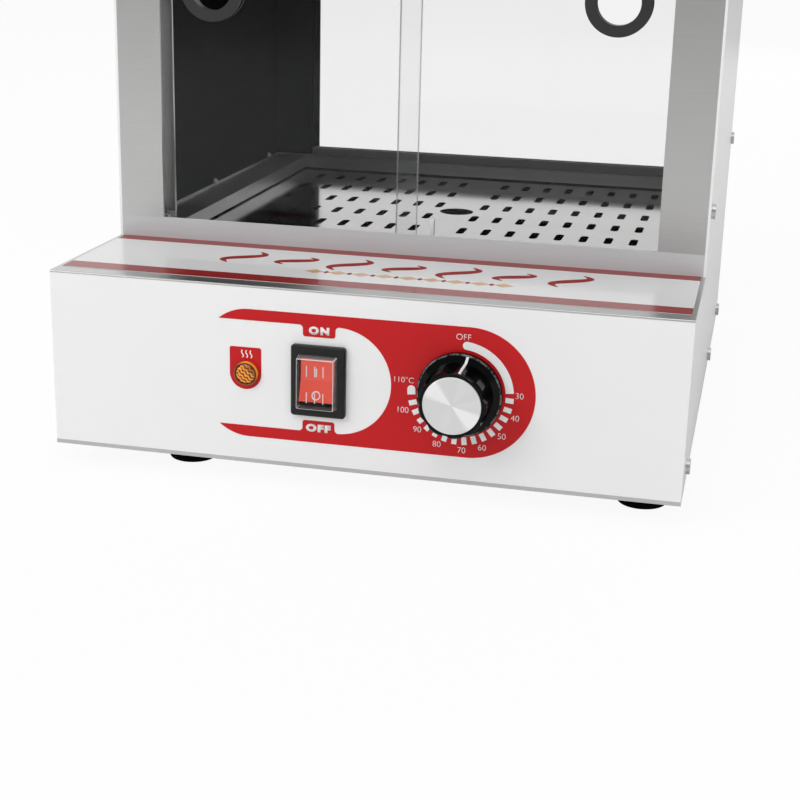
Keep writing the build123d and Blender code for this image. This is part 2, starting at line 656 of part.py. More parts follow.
def rear_glass():
    """Fixed rear pane."""
    half = REAR_POST_HALF + REAR_GLASS_ENTRY
    y0 = REAR_GLASS_Y - GLASS / 2
    return block(-half, half, y0, y0 + GLASS, Z_DECK + CHANNEL_BASE, Z_CEILING - CHANNEL_BASE)


def glass_channel(z0, height, opening_up):
    """U-shaped glazing strip along the top or the foot of the rear pane."""
    y0 = REAR_GLASS_Y - GLASS / 2 - CHANNEL_WALL
    strip = block(-REAR_POST_HALF, REAR_POST_HALF, y0, y0 + GLASS + 2 * CHANNEL_WALL, z0, z0 + height)
    g0 = z0 + CHANNEL_BASE if opening_up else z0
    g1 = z0 + height if opening_up else z0 + height - CHANNEL_BASE
    return strip - block(-REAR_POST_HALF, REAR_POST_HALF, y0 + CHANNEL_WALL, y0 + CHANNEL_WALL + GLASS, g0, g1)


def ceiling_panel():
    """Stainless ceiling on the inner walls and rear posts, folded down behind the upper track."""
    sheet = block(-WALL_HALF - STEEL, WALL_HALF + STEEL, TRACK_REAR, REAR - SKIN, Z_CEILING, Z_CEILING + STEEL)
    fold = block(
        -WALL_HALF, WALL_HALF, TRACK_REAR, TRACK_REAR + STEEL, Z_TOP_TRACK - TOP_TRACK_HEIGHT / 2, Z_CEILING
    )
    return sheet + fold


def header_panel():
    """White front sheet above the upper track."""
    return block(-INNER_HALF, INNER_HALF, TRACK_FRONT, TRACK_FRONT + SKIN, Z_TOP_TRACK, Z_ROOF)


def roof_panel():
    """White roof sheet with a lip inside the side panels and an apron down behind the ceiling."""
    top = block(-HALF, HALF, TRACK_FRONT, REAR, Z_ROOF, HEIGHT)
    top = fillet(top.edges().filter_by(Axis.Z), ROOF_ROUND)
    apron = block(-INNER_HALF, INNER_HALF, REAR - SKIN, REAR, Z_CEILING - CHANNEL_HEIGHT, Z_ROOF)
    lip = block(
        -INNER_HALF, INNER_HALF, TRACK_FRONT + SKIN, REAR - SKIN, Z_ROOF - ROOF_LIP, Z_ROOF
    )
    lip -= block(
        -INNER_HALF + SKIN, INNER_HALF - SKIN, TRACK_FRONT + 2 * SKIN, REAR - 2 * SKIN,
        Z_ROOF - ROOF_LIP, Z_ROOF,
    )
    return top + lip + apron


def rack_bracket(side):
    """Angle on the inner wall that the rack stands on."""
    x0, x1 = sorted((side * WALL_HALF, side * (WALL_HALF - BRACKET_SIZE)))
    u0, u1 = sorted((side * WALL_HALF, side * (WALL_HALF - STEEL)))
    flat = block(x0, x1, WELL_Y0, WELL_Y1, RACK_HEIGHT - STEEL, RACK_HEIGHT)
    upright = block(u0, u1, WELL_Y0, WELL_Y1, RACK_HEIGHT - BRACKET_SIZE, RACK_HEIGHT)
    return flat + upright


def bun_rack():
    """Removable wire rack: a round-wire frame with thinner wires across it."""
    half = WALL_HALF - RACK_MARGIN - RACK_FRAME_WIRE
    y0 = WELL_Y0 + RACK_MARGIN
    y1 = WELL_Y1 - RACK_MARGIN
    z = RACK_HEIGHT + SEAT + RACK_FRAME_WIRE
    rack = rod((-half, y0, z), (1, 0, 0), RACK_FRAME_WIRE, 2 * half)
    rack += rod((-half, y1, z), (1, 0, 0), RACK_FRAME_WIRE, 2 * half)
    for x in (-half, half):
        rack += rod((x, y0, z), (0, 1, 0), RACK_FRAME_WIRE, y1 - y0)
        for y in (y0, y1):
            rack += Pos(x, y, z) * Sphere(RACK_FRAME_WIRE)
    for i in range(RACK_WIRES):
        x = -half + 2 * half * (i + 1) / (RACK_WIRES + 1)
        rack += rod((x, y0, z), (0, 1, 0), RACK_WIRE, y1 - y0)
    return rack


# ---- switch ----

def spade(x, y, z):
    """A push-on terminal tab pointing backwards."""
    return block(x - SPADE_THICKNESS / 2, x + SPADE_THICKNESS / 2, y, y + SPADE_LENGTH, z - SPADE_WIDTH / 2,
                 z + SPADE_WIDTH / 2)


def switch_body():
    """Black switch: bezel in front of the panel and hollow housing behind it."""
    x0, x1 = SWITCH_X - BEZEL_WIDTH / 2, SWITCH_X + BEZEL_WIDTH / 2
    z0, z1 = SWITCH_HEIGHT - BEZEL_HEIGHT / 2, SWITCH_HEIGHT + BEZEL_HEIGHT / 2
    bezel = block(x0, x1, FRONT - BEZEL_DEPTH, FRONT, z0, z1)
    bezel = fillet(bezel.edges().filter_by(Axis.Y), BEZEL_ROUND)
    bezel = chamfer(bezel.faces().sort_by(Axis.Y)[0].edges(), BEZEL_BEVEL)
    housing = block(
        SWITCH_X - SWITCH_BODY_WIDTH / 2, SWITCH_X + SWITCH_BODY_WIDTH / 2, FRONT, FRONT + SWITCH_BODY_DEPTH,
        SWITCH_HEIGHT - SWITCH_BODY_HEIGHT / 2, SWITCH_HEIGHT + SWITCH_BODY_HEIGHT / 2,
    )
    cavity = block(
        SWITCH_X - ROCKER_WIDTH / 2 - ROCKER_GAP, SWITCH_X + ROCKER_WIDTH / 2 + ROCKER_GAP,
        FRONT - BEZEL_DEPTH, FRONT + CAVITY_DEPTH,
        SWITCH_HEIGHT - CAVITY_HEIGHT / 2, SWITCH_HEIGHT + CAVITY_HEIGHT / 2,
    )
    pin = rod(
        (SWITCH_X - ROCKER_WIDTH / 2 - 2 * ROCKER_GAP, FRONT + ROCKER_PIVOT, SWITCH_HEIGHT), (1, 0, 0),
        ROCKER_PIN_RADIUS, ROCKER_WIDTH + 4 * ROCKER_GAP,
    )
    tabs = [
        spade(SWITCH_X + dx, FRONT + SWITCH_BODY_DEPTH, SWITCH_HEIGHT + dz)
        for dx in (-SPADE_WIDTH, SPADE_WIDTH) for dz in (-SPADE_LENGTH, SPADE_LENGTH)
    ]
    return bezel + housing - cavity + pin + tabs


def rocker():
    """Red rocker with a shallow valley across its face, tilted to OFF, bored for its pin."""
    half = ROCKER_HEIGHT / 2
    with BuildSketch(Plane.YZ) as side:
        with BuildLine():
            Polyline(
                (-ROCKER_REACH, -half), (-ROCKER_VALLEY, 0), (-ROCKER_REACH, half), (-ROCKER_PIN_RADIUS, half),
                (ROCKER_TAIL, half / 2), (ROCKER_TAIL, -half / 2), (-ROCKER_PIN_RADIUS, -half), close=True,
            )
        make_face()
    body = extrude(side.sketch, ROCKER_WIDTH / 2, both=True)
    bore = rod((-ROCKER_WIDTH, 0, 0), (1, 0, 0), ROCKER_PIN_RADIUS + SHAFT_CLEARANCE, 2 * ROCKER_WIDTH)
    place = Pos(SWITCH_X, FRONT + ROCKER_PIVOT, SWITCH_HEIGHT)
    return place * Rot(-ROCKER_TILT, 0, 0) * (body - bore)


def switch_cover():
    """Clear splash cover over the rocker, narrower at the front and open towards the switch."""
    foot = Plane(
        origin=(SWITCH_X, FRONT - BEZEL_DEPTH, SWITCH_HEIGHT), x_dir=(1, 0, 0), z_dir=TOWARDS_FRONT,
    )
    outer = RectangleRounded(COVER_WIDTH, COVER_HEIGHT, COVER_ROUND)
    inner = RectangleRounded(
        COVER_WIDTH - 2 * COVER_WALL, COVER_HEIGHT - 2 * COVER_WALL, COVER_ROUND - COVER_WALL / 2,
    )
    shell = extrude(outer, COVER_DEPTH, taper=COVER_TAPER)
    shell = fillet(shell.faces().sort_by(Axis.Z)[-1].edges(), COVER_WALL)
    return foot * (shell - extrude(inner, COVER_DEPTH - COVER_WALL, taper=COVER_TAPER))


# ---- lamp ----

def lamp_lens():
    """Amber lens with a shallow dome."""
    start = (LAMP_X, FRONT - LABEL_THICKNESS, LAMP_HEIGHT)
    lens = rod(start, TOWARDS_FRONT, LENS_RADIUS, LENS_DEPTH)
    rim = lens.edges().filter_by(GeomType.CIRCLE).group_by(Axis.Y)[0]
    return fillet(rim, LENS_ROUND)


def lamp_body():
    """Lamp barrel through the panel, with its snap collar and two terminals."""
    start = FRONT - LABEL_THICKNESS
    rear = start + LAMP_BODY_LENGTH
    body = rod((LAMP_X, start, LAMP_HEIGHT), TOWARDS_REAR, LAMP_BODY_RADIUS, LAMP_BODY_LENGTH)
    collar = rod((LAMP_X, FRONT + SKIN, LAMP_HEIGHT), TOWARDS_REAR, LAMP_COLLAR_RADIUS, 2 * SKIN)
    return body + collar + [spade(LAMP_X + dx, rear, LAMP_HEIGHT) for dx in (-2, 2)]


# ---- knob and thermostat ----

def knob_plane():
    """Knob frame: X to the right, Y up, Z out of the panel."""
    return Plane(origin=(KNOB_X, FRONT, KNOB_HEIGHT), x_dir=(1, 0, 0), z_dir=TOWARDS_FRONT)


def revolved(points):
    """A turned solid from (radius, height) points."""
    with BuildSketch(Plane.XZ) as half:
        with BuildLine():
            Polyline(*points, close=True)
        make_face()
    return revolve(half.sketch, Axis.Z)


def pointer_blade():
    """White pointer strip that runs over the skirt and up a rib of the knob."""
    skirt_top = KNOB_GAP + SKIRT_HEIGHT
    front = KNOB_REACH - KNOB_CAP_DEPTH
    rise = POINTER_RISE
    skirt_end = SKIRT_RADIUS - KNOB_EDGE
    with BuildSketch(Plane.XZ) as side:
        with BuildLine():
            Polyline(
                (skirt_end, skirt_top - 2 * KNOB_EDGE), (skirt_end, skirt_top - KNOB_EDGE + rise / 2),
                (KNOB_BODY_RADIUS + KNOB_EDGE, skirt_top + rise), (KNOB_BODY_RADIUS + rise, skirt_top + KNOB_EDGE),
                (KNOB_FRONT_RADIUS + rise, front), (KNOB_FRONT_RADIUS - KNOB_EDGE, front),
                (KNOB_BODY_RADIUS - KNOB_EDGE, skirt_top - KNOB_EDGE), close=True,
            )
        make_face()
    blade = extrude(side.sketch, POINTER_WIDTH / 2, both=True)
    return Rot(0, 0, POINTER_ANGLE) * blade


def knob_body():
    """Glossy black knob: round skirt, fluted grip and a hollow underside."""
    skirt_top = KNOB_GAP + SKIRT_HEIGHT
    front = KNOB_REACH - KNOB_CAP_DEPTH / 2
    body = revolved([
        (0, KNOB_GAP), (SKIRT_RADIUS, KNOB_GAP), (SKIRT_RADIUS, skirt_top - 2 * KNOB_EDGE),
        (SKIRT_RADIUS - KNOB_EDGE, skirt_top - KNOB_EDGE), (KNOB_BODY_RADIUS, skirt_top),
        (KNOB_FRONT_RADIUS, front - KNOB_EDGE), (KNOB_FRONT_RADIUS - KNOB_EDGE, front), (0, front),
    ])
    flute_centre = KNOB_BODY_RADIUS + FLUTE_RADIUS - FLUTE_DEPTH
    flutes = [
        Rot(0, 0, POINTER_ANGLE + (i + 0.5) * 360 / FLUTE_COUNT) * Pos(flute_centre, 0, skirt_top + KNOB_EDGE)
        * Cylinder(FLUTE_RADIUS, KNOB_REACH, align=(Align.CENTER, Align.CENTER, Align.MIN))
        for i in range(FLUTE_COUNT)
    ]
    recess = rod((0, 0, KNOB_REACH - KNOB_CAP_DEPTH), (0, 0, 1), KNOB_CAP_RADIUS, KNOB_CAP_DEPTH)
    hollow = rod((0, 0, KNOB_GAP), (0, 0, 1), SKIRT_RADIUS - SKIRT_WALL, SKIRT_HEIGHT - SKIRT_WALL)
    hollow -= rod((0, 0, KNOB_GAP), (0, 0, 1), 2 * SHAFT_RADIUS, SKIRT_HEIGHT)
    bore = rod((0, 0, KNOB_GAP), (0, 0, 1), SHAFT_RADIUS, SHAFT_ENTRY)
    return knob_plane() * drill(body, flutes + [recess, hollow, bore, pointer_blade()])


def knob_cap():
    """Spun aluminium disc in the face of the knob."""
    cap = rod((0, 0, KNOB_REACH - KNOB_CAP_DEPTH), (0, 0, 1), KNOB_CAP_RADIUS, KNOB_CAP_DEPTH)
    rim = cap.edges().filter_by(GeomType.CIRCLE).group_by(Axis.Z)[-1]
    return knob_plane() * fillet(rim, CAP_ROUND)


def knob_pointer():
    """The pointer in its place on the knob."""
    return knob_plane() * pointer_blade()


def thermostat_shaft():
    """Shaft from inside the thermostat into the knob."""
    length = SKIN + THERMOSTAT_BORE - SEAT + KNOB_GAP + SHAFT_ENTRY
    start = (KNOB_X, FRONT + SKIN + THERMOSTAT_BORE - SEAT, KNOB_HEIGHT)
    return rod(start, TOWARDS_FRONT, SHAFT_RADIUS, length)


def thermostat_screw_places():
    """Places of the two screws that hold the thermostat, hidden under the knob."""
    spots = (KNOB_X - THERMOSTAT_SCREW_X, KNOB_X + THERMOSTAT_SCREW_X)
    return [((x, FRONT, KNOB_HEIGHT), TOWARDS_REAR) for x in spots]


def thermostat_body():
    """Thermostat housing behind the panel, bored for its shaft."""
    body = block(
        KNOB_X - THERMOSTAT_WIDTH / 2, KNOB_X + THERMOSTAT_WIDTH / 2, FRONT + SKIN, THERMOSTAT_REAR,
        KNOB_HEIGHT - THERMOSTAT_HEIGHT / 2, KNOB_HEIGHT + THERMOSTAT_HEIGHT / 2,
    )
    bore = rod(
        (KNOB_X, FRONT + SKIN, KNOB_HEIGHT), TOWARDS_REAR, SHAFT_RADIUS + SHAFT_CLEARANCE, THERMOSTAT_BORE
    )
    screws = [screw_hole(face, direction) for face, direction in thermostat_screw_places()]
    tab_z = KNOB_HEIGHT + THERMOSTAT_HEIGHT / 4
    tabs = [spade(KNOB_X + dx, THERMOSTAT_REAR, tab_z) for dx in (-SPADE_LENGTH, SPADE_LENGTH)]
    return drill(body, [bore] + screws) + tabs


def tube(points, radii, radius):
    """A round tube along straight runs joined by tangent arcs."""
    path = FilletPolyline(*points, radius=radii)
    return sweep(Plane(origin=path @ 0, z_dir=path % 0) * Circle(radius), path=path)


def sensor_bulb():
    """Thermostat bulb clipped to the tank, with its capillary tube."""
    y = TANK_Y0 - STEEL - BULB_RADIUS
    x_end = BULB_X + BULB_LENGTH / 2
    x_turn = KNOB_X + THERMOSTAT_WIDTH / 2
    z_out = KNOB_HEIGHT - THERMOSTAT_HEIGHT / 4
    route = [
        (KNOB_X, THERMOSTAT_REAR, z_out), (KNOB_X, THERMOSTAT_REAR + 3 * CAPILLARY_BEND, z_out),
        (x_turn, y, BULB_Z), (x_end, y, BULB_Z),
    ]
    capillary = tube(route, CAPILLARY_BEND, CAPILLARY_RADIUS)
    return rod((x_end, y, BULB_Z), (-1, 0, 0), BULB_RADIUS, BULB_LENGTH) + capillary


# ---- printed labels ----

def on_panel(sketch):
    """A thin printed sheet on the front panel, from a sketch in panel coordinates."""
    return Pos(0, FRONT, Z_FLOOR) * extrude(Plane.XZ * sketch, LABEL_THICKNESS)


def band_sketch():
    """Red band: two bars that join in a round end, with the ON and OFF tabs at the switch."""
    middle = (BAND_TOP + BAND_BOTTOM) / 2
    outer_radius = (BAND_TOP - BAND_BOTTOM) / 2
    inner_radius = outer_radius - BAND_BAR
    end_x = BAND_RIGHT - outer_radius
    taper_x = BAND_LEFT + BAND_TAPER
    tip_top = (BAND_LEFT, BAND_TOP - BAND_BAR)
    tip_bottom = (BAND_LEFT, BAND_BOTTOM + BAND_BAR)
    with BuildSketch() as outline:
        with BuildLine():
            TangentArc((taper_x, BAND_TOP), tip_top, tangent=(-1, 0))
            Line(tip_top, tip_bottom)
            TangentArc((taper_x, BAND_BOTTOM), tip_bottom, tangent=(-1, 0))
            Line((taper_x, BAND_BOTTOM), (end_x, BAND_BOTTOM))
            CenterArc((end_x, middle), outer_radius, -90, 180)
            Line((end_x, BAND_TOP), (taper_x, BAND_TOP))
        make_face()
    field_x = BAND_WHITE_RIGHT - inner_radius
    left = 2 * BAND_LEFT
    field = Pos((field_x + left) / 2, middle) * Rectangle(field_x - left, 2 * inner_radius)
    field += Pos(field_x, middle) * Circle(inner_radius)
    band = outline.sketch - field
    tab_x = SWITCH_X + TAB_SHIFT
    for side in (-1, 1):
        tab_y = middle + side * (inner_radius - TAB_HEIGHT / 2 + BAND_BAR / 4)
        tab = Pos(tab_x, tab_y) * Rectangle(TAB_WIDTH, TAB_HEIGHT + BAND_BAR / 2)
        band += fillet(tab.vertices().group_by(Axis.Y)[0 if side > 0 else -1], TAB_ROUND)
        edge = middle + side * inner_radius
        for hand in (-1, 1):
            x = tab_x + hand * TAB_WIDTH / 2
            corner = Pos(x + hand * TAB_FLARE / 2, edge) * Rectangle(TAB_FLARE, 2 * TAB_FLARE)
            band += corner - Pos(x + hand * TAB_FLARE, edge - side * TAB_FLARE) * Circle(TAB_FLARE)
    return band


def shield_sketch():
    """Red shield behind the lamp: square top, round foot."""
    x, z = LAMP_X + SHIELD_SHIFT, LAMP_Z - SHIELD_DROP
    top = Pos(x, (z + SHIELD_TOP) / 2) * Rectangle(SHIELD_WIDTH, SHIELD_TOP - z)
    top = fillet(top.vertices().group_by(Axis.Y)[-1], SHIELD_ROUND)
    return top + Pos(x, z) * Circle(SHIELD_WIDTH / 2)


def control_label():
    """Red printed band and lamp shield, pierced for the shaft, its screws and the lamp."""
    band = band_sketch() - Pos(KNOB_X, KNOB_Z) * Circle(2 * SHAFT_RADIUS)
    for side in (-1, 1):
        band -= Pos(KNOB_X + side * THERMOSTAT_SCREW_X, KNOB_Z) * Circle(SCREW_HEAD_RADIUS + HOLE_CLEARANCE)
    shield = shield_sketch() - Pos(LAMP_X, LAMP_Z) * Circle(LAMP_BODY_RADIUS)
    return [on_panel(band), on_panel(shield)]


def ledge_label():
    """Glossy printed sheet on the ledge, from its bare front margin back to the track."""
    half = HALF - LEDGE_LABEL_MARGIN
    return block(-half, half, FRONT + LEDGE_LABEL_FRONT, TRACK_FRONT, Z_LEDGE, Z_LEDGE + LABEL_THICKNESS)


# ---- heater and electrics ----

def heating_element():
    """Bent heating tube under the tank floor, with its two terminal pins."""
    y0 = TANK_Y0 - HEATER_BEND
    y1 = TANK_Y1 - HEATER_BEND
    route = [(-HEATER_HALF, y0, HEATER_Z), (-HEATER_HALF, y1, HEATER_Z),
             (HEATER_HALF, y1, HEATER_Z), (HEATER_HALF, y0, HEATER_Z)]
    element = tube(route, HEATER_BEND, HEATER_RADIUS)
    for x in (-HEATER_HALF, HEATER_HALF):
        element += rod((x, y0, HEATER_Z), TOWARDS_FRONT, HEATER_RADIUS / 2, 3 * HEATER_RADIUS)
    return element


def heater_fixings():
    """Clamp bars, studs and nuts under the heater, the bulb clip and the earth stud."""
    bar_top = HEATER_Z - HEATER_RADIUS
    half = HEATER_HALF + CLAMP_WIDTH
    stud_x = HEATER_HALF - CLAMP_WIDTH
    pieces = []
    for y in (WELL_MIDDLE - HEATER_HALF, WELL_MIDDLE + HEATER_HALF / 2):
        bar = block(-half, half, y - CLAMP_WIDTH / 2, y + CLAMP_WIDTH / 2, bar_top - CLAMP_THICKNESS, bar_top)
        for x in (-stud_x, stud_x):
            bar += rod((x, y, TANK_UNDER), (0, 0, -1), STUD_RADIUS, TANK_UNDER - bar_top + 4 * STUD_RADIUS)
            bar += hexagon((x, y, bar_top - CLAMP_THICKNESS), (0, 0, -1), 2 * STUD_RADIUS, STUD_NUT_HEIGHT)
        pieces.append(bar)
    wall = TANK_Y0 - STEEL
    reach = 2 * BULB_RADIUS + STEEL
    clip = block(
        BULB_X - CLAMP_WIDTH / 2, BULB_X + CLAMP_WIDTH / 2, wall - reach, wall,
        BULB_Z - BULB_RADIUS - STEEL, BULB_Z + BULB_RADIUS + STEEL,
    )
    clip -= rod((BULB_X - CLAMP_WIDTH, wall - BULB_RADIUS, BULB_Z), (1, 0, 0), BULB_RADIUS, 2 * CLAMP_WIDTH)
    clip -= block(
        BULB_X - CLAMP_WIDTH, BULB_X + CLAMP_WIDTH, wall - BULB_RADIUS, wall,
        BULB_Z - BULB_RADIUS, BULB_Z + BULB_RADIUS,
    )
    earth_y = FRONT + FOOT_INSET
    earth = rod((EARTH_X, earth_y, Z_FLOOR), (0, 0, 1), STUD_RADIUS, EARTH_LENGTH)
    earth += hexagon((EARTH_X, earth_y, Z_FLOOR), (0, 0, 1), 2 * STUD_RADIUS, STUD_NUT_HEIGHT)
    return pieces + [clip, earth]


def heat_shield():
    """Bridge of sheet steel between the heater and the base plate."""
    y0 = TANK_Y0
    y1 = TANK_Y1 - HEATER_BEND / 2
    half = SHIELD_PLATE_HALF
    outer = block(-half, half, y0, y1, Z_FLOOR, SHIELD_PLATE_Z + STEEL)
    return outer - block(-half + STEEL, half - STEEL, y0, y1, Z_FLOOR, SHIELD_PLATE_Z)


def limit_switch():
    """Round overheat cutout on the front wall of the tank."""
    y = TANK_Y0 - STEEL
    z = TANK_FLOOR + CUTOUT_RADIUS + SEAT
    body = rod((-HEATER_HALF, y, z), TOWARDS_FRONT, CUTOUT_RADIUS, CUTOUT_DEPTH)
    tab_y = y - CUTOUT_DEPTH - SPADE_LENGTH
    spots = (-HEATER_HALF - CUTOUT_RADIUS / 2, -HEATER_HALF + CUTOUT_RADIUS / 2)
    return body + [spade(x, tab_y, z) for x in spots]


def terminal_block():
    """Terminal block on the base plate with a screw well for each pole."""
    x0 = -INNER_HALF + BASE_FLANGE
    y0 = FRONT + LEDGE_DEPTH - TERMINAL_DEPTH
    body = block(x0, x0 + TERMINAL_LENGTH, y0, y0 + TERMINAL_DEPTH, Z_FLOOR, Z_FLOOR + TERMINAL_HEIGHT)
    pitch = TERMINAL_LENGTH / TERMINAL_POLES
    for i in range(TERMINAL_POLES):
        x = x0 + (i + 0.5) * pitch
        for y in (y0 + TERMINAL_DEPTH / 4, y0 + 3 * TERMINAL_DEPTH / 4):
            body -= rod((x, y, Z_FLOOR + TERMINAL_HEIGHT), (0, 0, -1), TERMINAL_WELL_RADIUS, TERMINAL_HEIGHT / 3)
    return body


# ---- drain valve and cable gland ----

def drain_pipe():
    """Pipe from the tank's rear wall to the valve."""
    pipe = rod((DRAIN_X, TANK_Y1, DRAIN_Z), TOWARDS_REAR, PIPE_RADIUS, REAR - TANK_Y1)
    return pipe - rod((DRAIN_X, TANK_Y1, DRAIN_Z), TOWARDS_REAR, PIPE_BORE, REAR - TANK_Y1)


def drain_valve():
    """Brass valve on the rear cover: inlet, ball seat, stem boss and spout."""
    body = rod((DRAIN_X, REAR, DRAIN_Z), TOWARDS_REAR, VALVE_RADIUS, VALVE_REACH)
    body = chamfer(body.faces().sort_by(Axis.Y)[-1].edges(), VALVE_BEVEL)
    body += rod((DRAIN_X, VALVE_Y, DRAIN_Z), (0, 0, -1), SPOUT_RADIUS, SPOUT_DROP)
    body += rod((DRAIN_X, VALVE_Y, DRAIN_Z), (0, 0, -1), SPOUT_COLLAR_RADIUS, VALVE_RADIUS + SPOUT_COLLAR_HEIGHT)
    body += rod((DRAIN_X, VALVE_Y, DRAIN_Z), (0, 0, 1), STEM_BOSS_RADIUS, STEM_BOSS_HEIGHT)
    seat = Pos(DRAIN_X, VALVE_Y, DRAIN_Z) * Sphere(BALL_RADIUS + BALL_CLEARANCE)
    inlet = rod((DRAIN_X, REAR, DRAIN_Z), TOWARDS_REAR, PIPE_BORE, VALVE_AXIS)
    outlet = rod((DRAIN_X, VALVE_Y, DRAIN_Z), (0, 0, -1), PIPE_BORE, SPOUT_DROP)
    stem = rod((DRAIN_X, VALVE_Y, DRAIN_Z), (0, 0, 1), STEM_RADIUS + SHAFT_CLEARANCE, STEM_BOSS_HEIGHT)
    return drill(body, [seat, inlet, outlet, stem])


def drain_ball():
    """Ball with its elbow port turned away from the inlet, and the stem and nut above it."""
    ball = Pos(DRAIN_X, VALVE_Y, DRAIN_Z) * Sphere(BALL_RADIUS)
    ball -= rod((DRAIN_X, VALVE_Y, DRAIN_Z), (-1, 0, 0), BALL_PORT, 2 * BALL_RADIUS)
    ball -= rod((DRAIN_X, VALVE_Y, DRAIN_Z), (0, 0, -1), BALL_PORT, 2 * BALL_RADIUS)
    lever_top = DRAIN_Z + STEM_BOSS_HEIGHT + SEAT + LEVER_THICKNESS
    start = DRAIN_Z + BALL_RADIUS - 1
    stem = rod((DRAIN_X, VALVE_Y, start), (0, 0, 1), STEM_RADIUS, lever_top + LEVER_THICKNESS + 1 - start)
    nut = hexagon((DRAIN_X, VALVE_Y, lever_top), (0, 0, 1), STEM_NUT_RADIUS, LEVER_THICKNESS)
    return ball + stem + nut


def drain_lever():
    """Flat steel lever on the stem, across the pipe while the valve is shut."""
    z0 = DRAIN_Z + STEM_BOSS_HEIGHT + SEAT
    lever = Pos(DRAIN_X + LEVER_LENGTH / 2, VALVE_Y, z0) * extrude(
        SlotOverall(LEVER_LENGTH + LEVER_WIDTH, LEVER_WIDTH), LEVER_THICKNESS
    )
    return lever - rod((DRAIN_X, VALVE_Y, z0), (0, 0, 1), STEM_RADIUS, LEVER_THICKNESS)


def drain_grip():
    """Vinyl sleeve on the lever."""
    z0 = DRAIN_Z + STEM_BOSS_HEIGHT + SEAT
    x1 = DRAIN_X + LEVER_LENGTH + LEVER_WIDTH / 2 + GRIP_WALL
    half = LEVER_WIDTH / 2 + GRIP_WALL
    sleeve = block(
        x1 - GRIP_LENGTH, x1, VALVE_Y - half, VALVE_Y + half, z0 - GRIP_WALL + SEAT,
        z0 + LEVER_THICKNESS + GRIP_WALL,
    )
    sleeve = fillet(sleeve.edges().filter_by(Axis.Z).group_by(Axis.X)[-1], LEVER_WIDTH / 2)
    sleeve = fillet(sleeve.faces().sort_by(Axis.Z)[-1].edges(), GRIP_WALL / 2)
    return sleeve - drain_lever()


def gland_body():
    """Threaded cable gland through the rear cover, with its outer flange."""
    start = REAR - SKIN - GLAND_NUT_THICKNESS - 3
    body = rod((GLAND_X, start, GLAND_HEIGHT), TOWARDS_REAR, GLAND_THREAD, REAR - start)
    body += hexagon((GLAND_X, REAR, GLAND_HEIGHT), TOWARDS_REAR, GLAND_NUT, GLAND_NUT_THICKNESS)
    return body - rod((GLAND_X, start, GLAND_HEIGHT), TOWARDS_REAR, GLAND_BORE, 2 * VALVE_REACH)


def gland_nuts():
    """Lock nut inside the cover and dome nut outside it."""
    behind = (GLAND_X, REAR - SKIN - GLAND_NUT_THICKNESS, GLAND_HEIGHT)
    inside = hexagon(behind, TOWARDS_REAR, GLAND_NUT, GLAND_NUT_THICKNESS)
    inside -= rod(behind, TOWARDS_REAR, GLAND_THREAD, GLAND_NUT_THICKNESS)
    start = (GLAND_X, REAR + GLAND_NUT_THICKNESS, GLAND_HEIGHT)
    dome = rod(start, TOWARDS_REAR, GLAND_DOME_RADIUS, GLAND_DOME_LENGTH)
    dome = fillet(dome.faces().sort_by(Axis.Y)[-1].edges(), GLAND_DOME_ROUND)
    dome -= rod(start, TOWARDS_REAR, GLAND_BORE, GLAND_DOME_LENGTH)
    return [inside, dome]


def panel_screws():
    """All the pan-head screws of the outer sheets and the thermostat."""
    places = base_side_screws() + rear_base_screws() + side_screws() + thermostat_screw_places()
    return [screw(face, direction) for face, direction in places]


def model():
    """Every sub-part by name."""
    nodes = {
        "base_plate": base_plate(),
        "front_panel": front_panel(),
        "rear_base_panel": rear_base_panel(),
        "front_ledge": front_ledge(),
        "feet": [foot(place) for place in FOOT_PLACES],
        "foot_screws": [foot_screw(place) for place in FOOT_PLACES],
        "control_label": control_label(),
        "ledge_label": ledge_label(),
        "switch_body": switch_body(),
        "rocker": rocker(),
        "switch_cover": switch_cover(),
        "lamp_lens": lamp_lens(),
        "lamp_body": lamp_body(),
        "knob_body": knob_body(),
        "knob_cap": knob_cap(),
        "knob_pointer": knob_pointer(),
        "thermostat_shaft": thermostat_shaft(),
        "thermostat_body": thermostat_body(),
        "sensor_bulb": sensor_bulb(),
        "well_deck": well_deck(),
        "water_tank": water_tank(),
        "perforated_tray": perforated_tray(),
        "heating_element": heating_element(),
        "heater_fixings": heater_fixings(),
        "heat_shield": heat_shield(),
        "limit_switch": limit_switch(),
        "terminal_block": terminal_block(),
        "drain_pipe": drain_pipe(),
        "drain_valve": drain_valve(),
        "drain_ball": drain_ball(),
        "drain_lever": drain_lever(),
        "drain_grip": drain_grip(),
        "gland_body": gland_body(),
        "gland_nuts": gland_nuts(),
        "lower_track": lower_track(),
        "upper_track": upper_track(),
        "door_guide": door_guide(),
        "rear_posts": [rear_post(-1), rear_post(1)],
        "wall_rivets": wall_rivets(),
        "rear_glass": rear_glass(),
        "glass_channels": [
            glass_channel(Z_DECK, CHANNEL_FOOT_HEIGHT, True),
            glass_channel(Z_CEILING - CHANNEL_HEIGHT, CHANNEL_HEIGHT, False),
        ],
        "ceiling_panel": ceiling_panel(),
        "header_panel": header_panel(),
        "roof_panel": roof_panel(),
        "rack_brackets": [rack_bracket(-1), rack_bracket(1)],
        "bun_rack": bun_rack(),
        "panel_screws": panel_screws(),
    }
    for name, side in (("left", -1), ("right", 1)):
        nodes[name + "_base_side"] = side_base_panel(side)
        nodes[name + "_cabinet_side"] = side_panel(side)
        nodes[name + "_inner_wall"] = inner_wall(side)
        nodes[name + "_front_post"] = front_post(side)
        nodes[name + "_door"] = door_glass(side)
        nodes[name + "_door_pull"] = door_pull(side)
    return nodes


